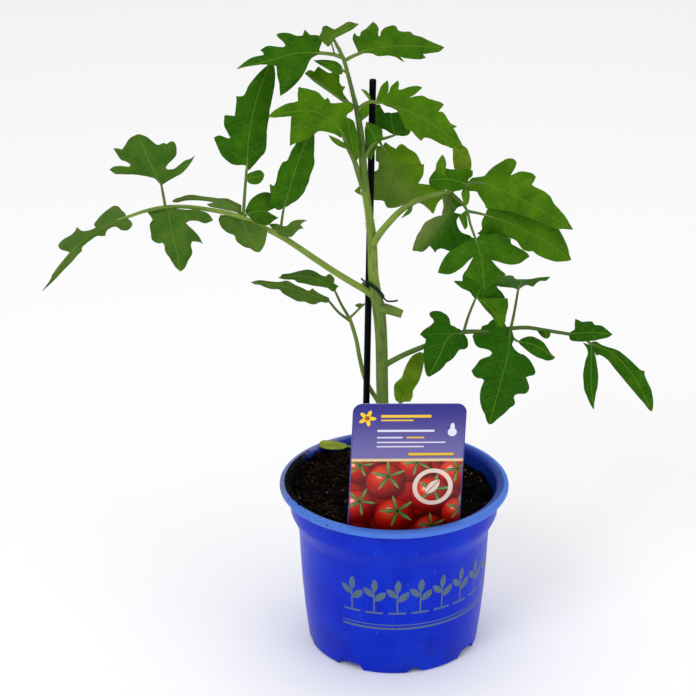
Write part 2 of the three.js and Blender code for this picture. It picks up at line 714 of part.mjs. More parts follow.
        left: [
          [-9, 203.4], [-6.8, 208.9], [-3.5, 212], [-2.9, 209], [-3.4, 204.8], [-1.6, 208.6],
          [1.9, 211.9], [2.5, 210], [2.3, 207.2], [7, 208.2], [12.5, 209], [14.7, 208.1],
          [7.8, 202.9], [15, 203.8], [24.5, 200.4], [26.2, 199.1], [23.3, 195.5], [25.6, 195.1],
          [30, 189], [33.3, 187.6], [31.3, 186.6], [35.4, 179],
        ],
        right: [
          [-4, 198.5], [1.5, 196], [6.4, 186.2], [9, 185.3], [14.2, 180], [16, 181.8], [20, 180.9],
          [25, 178.3], [31.2, 176],
        ],
        rise: 0.3,
        cup: 0.12,
      },
      {
        rib: [[34.5, 178.4, -20], [36.4, 170, -20], [36.2, 160.4, -18]],
        left: [[31.2, 176.6], [31, 170], [32, 164]],
        right: [[38, 176.4], [40.5, 170], [40.4, 165]],
        side: 0.3,
        thick: 0.5,
      },
    ],
  },
  leaf_upper_left: {
    stalks: [
      {
        path: [
          [-16.5, 155, 0], [-19, 163.2, -1.4], [-20.9, 169.3, -2.4], [-24.2, 176.1, -3.6],
          [-27.4, 184.6, -5],
        ],
        radii: [1.3, 1.4, 1.1, 0.9],
      },
    ],
    leaflets: [
      {
        rib: [
          [-26.6, 183.4, -5], [-33, 191, -8], [-42, 195.5, -10.5], [-53, 195.6, -13], [-66.5, 192.7, -16],
        ],
        left: [
          [-29.6, 182.6], [-34.6, 184.6], [-39.9, 185.2], [-42.5, 183.2], [-46, 180.8], [-55, 177.4],
          [-54.2, 193],
        ],
        right: [
          [-24.4, 188], [-24.8, 193.8], [-21.8, 196.2], [-22, 199.2], [-27.5, 200.3], [-33.5, 199.9],
          [-35, 202.8], [-36.6, 201.7], [-40, 205.5], [-50.3, 208.4], [-50.6, 201], [-56, 199.8],
          [-62.5, 196.5],
        ],
        rise: 0.15,
        cup: 0.12,
      },
      {
        stalk: [[-21.8, 172.2, -3]],
        rib: [[-24, 175.4, -5], [-29, 179.2, -7], [-34.5, 183, -9]],
        left: [[-28, 176.8], [-33, 180.4]],
        right: [[-25.5, 178.4], [-30, 181.2]],
        thick: 0.6,
      },
      {
        rib: [[-20.3, 169, -2.2], [-22.4, 180, -4], [-24.6, 192.4, -6]],
        left: [[-23.8, 176.6], [-27.8, 184.4], [-27.6, 190]],
        right: [[-18.4, 172], [-18.8, 182], [-20.4, 187.6], [-21.4, 190.6]],
        side: -0.1,
        thick: 0.5,
      },
    ],
  },
  leaf_crown_left: {
    stalks: [{ path: [[-20, 197, 0.6], [-22.4, 198.9, 2.4], [-27, 202, 4]], radii: [1, 0.8] }],
    leaflets: [
      {
        rib: [[-23, 199.4, 3], [-30, 204, 5], [-38, 209.8, 7], [-47, 215.6, 10]],
        left: [[-26.5, 200.4, 8], [-34, 205.6, 11], [-42, 211.2, 12]],
        right: [
          [-26.6, 205.6], [-25.5, 208.8], [-27.6, 209], [-29, 215], [-31.5, 216.3], [-34, 215.8],
          [-39.8, 219.3], [-42, 216.5], [-44.5, 217.2],
        ],
        rise: 0.25,
        thick: 0.6,
      },
    ],
  },
  leaf_top_left: {
    stalks: [
      {
        path: [[-27, 223.8, 0.4], [-31, 225.3, -0.6], [-35, 226, -1.2], [-40, 226.4, -1.8]],
        radii: [1, 0.9],
      },
    ],
    leaflets: [
      {
        rib: [[-38.3, 226.3, -1.6], [-50, 226.5, -3], [-66, 222.4, -6], [-83, 218, -9]],
        left: [
          [-43, 224], [-45.2, 221], [-48, 215], [-52, 210], [-60, 203.8], [-60.4, 210], [-61.5, 214],
          [-62, 219.4], [-68, 220.2], [-79, 219],
        ],
        right: [
          [-39.4, 228], [-38.2, 231.4], [-38, 233], [-40.2, 235.6], [-44.5, 236], [-47.2, 238.5],
          [-48.3, 235.5], [-57, 237], [-62, 236], [-57.3, 230.6], [-67, 230], [-70.5, 227.8],
          [-68.8, 225.3], [-75, 223.7],
        ],
        rise: 0.2,
        cup: 0.12,
      },
      {
        stalk: [[-31.4, 225.4, -0.8], [-32, 228, -2.2]],
        rib: [[-33, 231.4, -3], [-33.4, 235.4, -3.4], [-28, 238.6, -3.6], [-19, 242.2, -4]],
        left: [
          [-34.8, 229.6], [-38.4, 232.8], [-40, 234.5], [-37.9, 239.6], [-35.5, 240.7], [-31.5, 238.9],
          [-24, 243.2],
        ],
        right: [[-31.6, 234.6], [-28, 236.5], [-22, 239.7]],
        thick: 0.5,
      },
    ],
  },
  leaf_top_right: {
    stalks: [
      { path: [[-26.6, 221.8, 1], [-24, 223.5, 1.2], [-21, 225, 1.8], [-16, 227, 3]], radii: [1, 0.8] },
    ],
    leaflets: [
      {
        rib: [[-18.6, 226.3, 2.2], [-10, 229, 6], [5, 230, 14], [26.4, 229.2, 26]],
        left: [
          [-19.6, 228.4], [-21.7, 233.5], [-20.8, 236.8], [-18, 235.2], [-15, 239], [-11.2, 242.8],
          [-8.2, 239], [-8.2, 235.1], [-5, 239.5], [0, 241], [2.2, 238.2], [8.5, 237.5], [18, 233],
        ],
        right: [
          [-11.5, 226], [-8.5, 224.7], [-3, 225], [1, 224.2], [5.6, 221.4], [5, 223.9], [12.5, 223],
          [16.5, 223.8], [15, 225.8], [24, 227.2],
        ],
        rise: 0.5,
        cup: 0.15,
      },
    ],
  },
  seed_leaf_right: {
    stalks: [{ path: [[-6, 32.4, 0.6], [-2, 36, 0.6], [4.6, 43.4, 1]], radii: [1.1, 0.8] }],
    leaflets: [
      {
        rib: [[4.3, 42.6, 0.8], [7, 52, 3], [13.4, 68.8, 9]],
        left: [[1.2, 42.8], [0, 47], [0.6, 52], [4, 55.5], [9.8, 67]],
        right: [[8.4, 42.6], [10, 48.5], [13.3, 54], [15.2, 61], [16, 67]],
        side: 0.15,
        thick: 0.6,
      },
    ],
  },
  seed_leaf_left: {
    stalks: [
      {
        path: [[-5.9, 9, 1.5], [-12, 14, 15], [-18, 17.4, 25.6], [-25, 19.2, 35.4]],
        radii: [0.9, 0.7],
      },
    ],
    leaflets: [
      {
        rib: [[-24, 19.2, 34.2], [-32, 19.6, 37.6], [-39.5, 19.8, 40]],
        left: [[-26, 18], [-30, 17.4], [-36.5, 17.9], [-39, 18.9]],
        right: [[-26, 20.4], [-30, 21.4], [-37.8, 22]],
        rise: 2.2,
        thick: 0.5,
      },
    ],
  },
};

// Pieces

function potSolid() {
  const profile = [[0, 0], ...OUTER_WALL, ...[...INNER_WALL].reverse(), [0, WALL]];
  let pot = solidFrom(turned(profile, POT_SIDES));
  for (let drain = 0; drain < DRAIN_COUNT; drain++) {
    pot = pot.add(drainCover(drain, 0));
  }
  for (let drain = 0; drain < DRAIN_COUNT; drain++) {
    pot = pot.subtract(drainChannel(drain));
  }
  return pot;
}

// A drain runs from the middle of the floor straight out through the foot of the wall
function alongDrain(geometry, drain) {
  const turn = FIRST_DRAIN + (drain * 2 * Math.PI) / DRAIN_COUNT;
  return geometry.rotateX(Math.PI / 2).rotateZ(turn);
}

const drainSize = (drain) => (drain % 2 === 0 ? NARROW_DRAIN : WIDE_DRAIN);

function drainBlock({ foot, top, height, start, end }) {
  const outline = new THREE.Shape([
    new THREE.Vector2(-foot / 2, 0),
    new THREE.Vector2(foot / 2, 0),
    new THREE.Vector2(top / 2, height),
    new THREE.Vector2(-top / 2, height),
  ]);
  const block = new THREE.ExtrudeGeometry(outline, { depth: end - start, bevelEnabled: false });
  return block.translate(0, 0, start);
}

function drainCover(drain, grow) {
  const { foot, top, height } = drainSize(drain);
  const wall = WALL + grow;
  const cover = {
    foot: foot + 2 * wall,
    top: top + 2 * wall,
    height: height + wall,
    start: DRAIN_START - wall,
    end: INNER_WALL[1][0] + WALL / 2,
  };
  return solidFrom(alongDrain(drainBlock(cover), drain));
}

function drainChannel(drain) {
  const { foot, top, height } = drainSize(drain);
  const channel = drainBlock({
    foot: foot + ((foot - top) * DRAIN_BELOW) / height,
    top,
    height: height + DRAIN_BELOW,
    start: DRAIN_START,
    end: DRAIN_END,
  });
  channel.translate(0, -DRAIN_BELOW, 0);
  const { radius, depth, sides } = DRAIN_HOLE;
  const hole = new THREE.CylinderGeometry(radius, radius, depth, sides);
  hole.translate(0, height + WALL, DRAIN_HOLE.reach);
  return solidFrom(alongDrain(channel, drain)).add(solidFrom(alongDrain(hole, drain)));
}

// Height at a place of a rounded mound round a centre
function mound([x, y], { centre, size, height }) {
  const distance = Math.hypot(x - centre[0], y - centre[1]);
  return height * Math.exp(-(distance ** 2) / (2 * size ** 2));
}

function clodAt(clod) {
  const reach = CLODS.reach * Math.sqrt((clod + 0.5) / CLODS.count);
  const turn = clod * SPIRAL_TURN;
  const centre = [reach * Math.cos(turn), reach * Math.sin(turn)];
  return { centre, size: CLODS.size, height: CLODS.height + CLODS.spread * Math.sin(clod * clod) };
}

function soilTop(x, y) {
  const across = Math.sin(SOIL_WAVES.right * x + SOIL_WAVES.start[0]);
  const along = Math.sin(SOIL_WAVES.back * y + SOIL_WAVES.start[1]);
  let height = SOIL_LEVEL + SOIL_SLOPE.right * x + SOIL_SLOPE.back * y;
  height += SOIL_WAVES.height * across * along + mound([x, y], SOIL_HEAP);
  for (let clod = 0; clod < CLODS.count; clod++) {
    height += mound([x, y], clodAt(clod));
  }
  return height;
}

function soilSolid() {
  const filling = INNER_WALL.map(([radius, height]) => [radius - GAP, height]);
  const bottom = WALL + GAP;
  const heaped = RIM_HEIGHT + SOIL_HEAPED;
  const overLip = [[filling.at(-1)[0] - SOIL_HEAPED, heaped], [0, heaped]];
  const inside = turned([[0, bottom], ...filling.slice(1), ...overLip], POT_SIDES);
  const rings = Array.from({ length: SOIL_RINGS.count }, (_, ring) => {
    const share = ring / (SOIL_RINGS.count - 1);
    return [THREE.MathUtils.lerp(SOIL_RINGS.outer, SOIL_RINGS.inner, share), SOIL_LEVEL];
  });
  const heap = turned([[0, 0], [SOIL_RINGS.outer, 0], ...rings, [0, SOIL_LEVEL]], SOIL_SIDES);
  const corners = heap.attributes.position;
  for (let corner = 0; corner < corners.count; corner++) {
    if (corners.getZ(corner) > SOIL_LEVEL / 2) {
      corners.setZ(corner, soilTop(corners.getX(corner), corners.getY(corner)));
    }
  }
  let soil = solidFrom(inside).intersect(solidFrom(heap));
  for (let drain = 0; drain < DRAIN_COUNT; drain++) {
    soil = soil.subtract(drainCover(drain, GAP));
  }
  soil = soil.subtract(stalk({ ...STEM, grow: GAP }));
  soil = soil.subtract(stalk({ ...ROD, grow: GAP }));
  return soil.subtract(labelSolid(GAP));
}

const ROD = {
  path: [[-16.9, -70, 4.7], [-11.2, 212.4, 4.7]],
  radii: [ROD_RADIUS, ROD_RADIUS],
  sides: 12,
};

// The wire goes round the stem and the rod one and a half times, with both its ends left out
const WIRE = {
  path: [
    [-17.4, 107.6, 2.4], [-16, 106.3, 1.6], [-14.4, 105.9, -1.2], [-12, 104.6, -3.3], [-9.3, 102.7, -3.9],
    [-7, 100.3, -2.9], [-5.4, 98.2, 0.2], [-6.4, 98.4, 3.6], [-10.5, 100.6, 6.6], [-14.2, 103, 7.2],
    [-16.4, 104.6, 5.2], [-16.3, 105.2, 2.4], [-14.4, 104.6, -1.3], [-12, 103.3, -3.5], [-9.2, 101.3, -4.1],
    [-6.6, 98.8, -3.3], [-4.9, 96.6, -0.6], [-3.4, 95.6, 0.6], [-0.5, 95.5, 0.8], [2, 96, 1],
  ],
  radii: [WIRE_RADIUS, WIRE_RADIUS],
  sides: 5,
  steps: 30,
};

function labelOutline(grow) {
  const half = LABEL_WIDTH / 2 + grow;
  const foot = LABEL_FOOT_WIDTH / 2 + grow;
  const top = LABEL_HEIGHT + grow;
  const corner = LABEL_CORNER + grow;
  const outline = new THREE.Shape();
  outline.moveTo(-half, 0);
  outline.lineTo(-foot, -LABEL_SHOULDER - grow);
  outline.lineTo(-foot, LABEL_POINT - LABEL_FOOT - grow);
  outline.lineTo(0, -LABEL_FOOT - 2 * grow);
  outline.lineTo(foot, LABEL_POINT - LABEL_FOOT - grow);
  outline.lineTo(foot, -LABEL_SHOULDER - grow);
  outline.lineTo(half, 0);
  outline.absarc(half - corner, top - corner, corner, 0, Math.PI / 2);
  outline.absarc(-half + corner, top - corner, corner, Math.PI / 2, Math.PI);
  outline.closePath();
  return outline;
}

function labelSolid(grow) {
  const depth = LABEL_THICKNESS + 2 * grow;
  const cut = { depth, bevelEnabled: false, curveSegments: 6 };
  const sheet = new THREE.ExtrudeGeometry(labelOutline(grow), cut);
  sheet.translate(0, 0, -depth / 2);
  sheet.rotateZ(-LABEL_ROLL).rotateX(Math.PI / 2).rotateZ(LABEL_TURN);
  return solidFrom(sheet.translate(...LABEL_FOOT_CENTRE));
}

function stemSolid() {
  return fuse([stalk(STEM), stalk(CUT_STALK), ...STEM_BLADES.map(leaflet)]);
}

function leafSolid({ stalks, leaflets }) {
  const whole = fuse([...stalks.map(stalk), ...leaflets.map(leaflet)]);
  return whole.subtract(stalk({ ...STEM, grow: GAP }));
}

// Materials

const finish = (color, roughness) => new THREE.MeshStandardMaterial({ color, roughness, metalness: 0 });
const bluePlastic = finish(0x2340c8, 0.42);
const peat = finish(0x1d1713, 0.95);
const greenStalk = finish(0x6f8f3a, 0.6);
const blackRod = finish(0x0d0d0f, 0.5);
const darkWire = finish(0x14231a, 0.45);
const printedCard = finish(0x4a3f9c, 0.35);
const leafGreen = finish(0x2f6a1a, 0.55);

function piece(name, solid, material) {
  const mesh = new THREE.Mesh(geometryOf(solid), material);
  mesh.name = name;
  return mesh;
}

const group = new THREE.Group();
group.add(piece('pot', potSolid(), bluePlastic));
group.add(piece('soil', soilSolid(), peat));
group.add(piece('stem', stemSolid(), greenStalk));
group.add(piece('stake', stalk(ROD), blackRod));
group.add(piece('tie', stalk(WIRE), darkWire));
group.add(piece('label', labelSolid(0), printedCard));
for (const [name, shape] of Object.entries(LEAVES)) {
  group.add(piece(name, leafSolid(shape), leafGreen));
}

export default group;
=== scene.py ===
import math
import random

import bmesh
import bpy
import numpy as np
from mathutils import Matrix, Vector
from mathutils.geometry import delaunay_2d_cdt


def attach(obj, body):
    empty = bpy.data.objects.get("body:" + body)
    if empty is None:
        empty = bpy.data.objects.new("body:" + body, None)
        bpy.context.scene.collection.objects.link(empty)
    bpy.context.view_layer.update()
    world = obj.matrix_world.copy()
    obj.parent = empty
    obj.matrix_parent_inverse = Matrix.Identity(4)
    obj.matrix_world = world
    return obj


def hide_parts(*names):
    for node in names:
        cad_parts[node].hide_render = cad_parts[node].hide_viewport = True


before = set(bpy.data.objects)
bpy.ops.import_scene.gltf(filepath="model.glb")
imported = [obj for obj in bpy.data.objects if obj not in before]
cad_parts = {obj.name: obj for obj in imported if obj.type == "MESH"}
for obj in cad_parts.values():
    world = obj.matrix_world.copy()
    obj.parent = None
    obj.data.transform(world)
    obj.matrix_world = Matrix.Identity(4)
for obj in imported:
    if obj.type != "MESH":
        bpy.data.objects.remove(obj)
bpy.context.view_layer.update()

bl_info = {
    "name": "Potted tomato plant",
    "version": (1, 0, 0),
    "blender": (4, 5, 0),
    "location": "3D View > Sidebar > Tomato plant",
    "description": "A young tomato plant in a plastic pot, tied to a rod, with a picture label in the soil",
    "category": "Add Mesh",
}

MM = 0.001

# The plant is laid out as the camera sees it. Each point of it is (right, up, back): millimetres
# right of the pot's axis and up from the middle of its rim in that view, and how far behind the
# axis the point lies.
EYE = Vector((-24.3, -1398.0, 808.0))
VIEW_DROP = math.radians(24.6)
VIEW_HEIGHT = 90.0
PHOTO_WIDTH = 696
FOCAL_LENGTH = 2979
SENSOR_WIDTH = 36

# Pot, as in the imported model
RIM_HEIGHT = 91.2
WALL = 1.2
DRAIN_COUNT = 8
FIRST_DRAIN = math.radians(14)
DRAIN_START = 22.0
DRAIN_END = 50.0
COVER_END = 44.2
DRAIN_OVERCUT = 1.0
COVER_GAP = 0.1
NARROW_DRAIN = {"foot": 9.5, "top": 3.5, "height": 3.2}
WIDE_DRAIN = {"foot": 16.0, "top": 11.0, "height": 3.9}

# Soil
SOIL_LEVEL = 84.6
SOIL_RIGHT_SLOPE = -0.045
SOIL_BACK_SLOPE = 0.02
SOIL_HEAP = {"centre": (-30.0, 10.0), "size": 17.3, "height": 2.6}
SOIL_WAVE_HEIGHT = 1.1
SOIL_WAVE_ACROSS = (0.41, 1.3)
SOIL_WAVE_BACK = (0.37, 0.4)
CLOD_MOUNDS = 66
CLOD_REACH = 55.0
CLOD_SIZE = 3.1
CLOD_HEIGHT = 1.75
CLOD_SPREAD = 0.95
SPIRAL_TURN = math.pi * (3 - math.sqrt(5))
SOIL_RADIUS = 53.0
SOIL_GRID = 190
SOIL_NECK = 64.0
SOIL_FLOOR = 6.0
# Relief of the peat in layers: pattern, size of its lumps and their height
SOIL_LAYERS = [("CLOUDS", 9, 2.2), ("VORONOI", 4.2, -1.9), ("CLOUDS", 1.8, 1.1)]

# Label
LABEL_WIDTH = 58.0
LABEL_HEIGHT = 70.5
LABEL_CORNER = 5.0
LABEL_THICKNESS = 0.8
LABEL_FOOT_WIDTH = 17.0
LABEL_SHOULDER = 12.0
LABEL_FOOT = 42.0
LABEL_TIP = 1.2
LABEL_FOOT_CENTRE = Vector((4.2, -43.6, 86.5))
LABEL_TURN = math.radians(5.4)
LABEL_ROLL = math.radians(2.4)

# Main stem
STEM_PATH = [
    (-4.5, -45, 0), (-4.9, -10, 0), (-5.6, 22, 0), (-6.3, 50, 0), (-6.9, 78, 0), (-8.2, 92, 0),
    (-10, 101, 0), (-11, 110, 0), (-11.4, 122, 0), (-12.1, 132, 0), (-13.5, 143, 0),
    (-15.2, 155, 0), (-16.6, 170, 0), (-17.6, 183, 0), (-19.4, 195, 0.5), (-21.8, 205, 0.8),
    (-24.3, 215, 1), (-27, 224, 1), (-30, 230, 1), (-32, 234, 1),
]
STEM_RADII = [
    3.2, 3.2, 3.15, 3.15, 3.15, 3.35, 3, 2.65, 2.5, 2.4, 1.95, 2.05, 1.95, 1.75, 1.4, 1.05, 0.95, 0.9,
    0.75, 0.5,
]
# How fresh the stem's green is from foot to top. The darker foot and crown are partly painted shade, where
# leaves shade the stem.
STEM_TONES_AND_SHADE = [
    0.3, 0.3, 0.35, 0.4, 0.45, 0.45, 0.6, 0.9, 1, 0.8, 0.8, 0.5, 0.3, 0.25, 0.2, 0.2, 0.3, 0.5, 0.5, 0.5,
]
CUT_STALK = {"path": [(-8, 92, -0.5), (-3, 91.2, -2.5), (4.2, 88.8, -4)], "radii": [3.1, 2.2]}
ROD_ENDS = [(-16.9, -70, 4.7), (-11.2, 212.4, 4.7)]
ROD_RADIUS = 1.75
WIRE_RADIUS = 0.48
WIRE_PATH = [
    (-17.4, 107.6, 2.4), (-16, 106.3, 1.6), (-14.4, 105.9, -1.2), (-12, 104.6, -3.3), (-9.3, 102.7, -3.9),
    (-7, 100.3, -2.9), (-5.4, 98.2, 0.2), (-6.4, 98.4, 3.6), (-10.5, 100.6, 6.6), (-14.2, 103, 7.2),
    (-16.4, 104.6, 5.2), (-16.3, 105.2, 2.4), (-14.4, 104.6, -1.3), (-12, 103.3, -3.5), (-9.2, 101.3, -4.1),
    (-6.6, 98.8, -3.3), (-4.9, 96.6, -0.6), (-3.4, 95.6, 0.6), (-0.5, 95.5, 0.8), (2, 96, 1),
]

STEM_BLADES = [{
    "stalk": [(-24.5, 215.8, 1)],
    "rib": [(-26.5, 216.9, 1.4), (-32, 219.8, 4), (-42.3, 222.4, 8)],
    "left": [(-27.8, 214.9), (-31, 215.4), (-34, 217.1), (-37, 218.9), (-40, 220.7)],
    "right": [(-28, 219.8), (-30, 221.6), (-34, 222.5), (-39, 222.7)],
    "rise": 0.6, "youth": 0.5,
}, {
    "rib": [(-31.2, 232.4, 1), (-33.5, 234.4, 2), (-35.2, 237.3, 3)],
    "left": [(-34, 233.2)],
    "right": [(-32.5, 236)],
    "youth": 0.6,
}, {
    "rib": [(-16.8, 151.5, -0.6), (-18.5, 153.4, -1), (-21, 153.6, -1.5)],
    "left": [(-19, 152.1)],
    "right": [(-18.4, 156.2)],
    "youth": 0.6,
}]
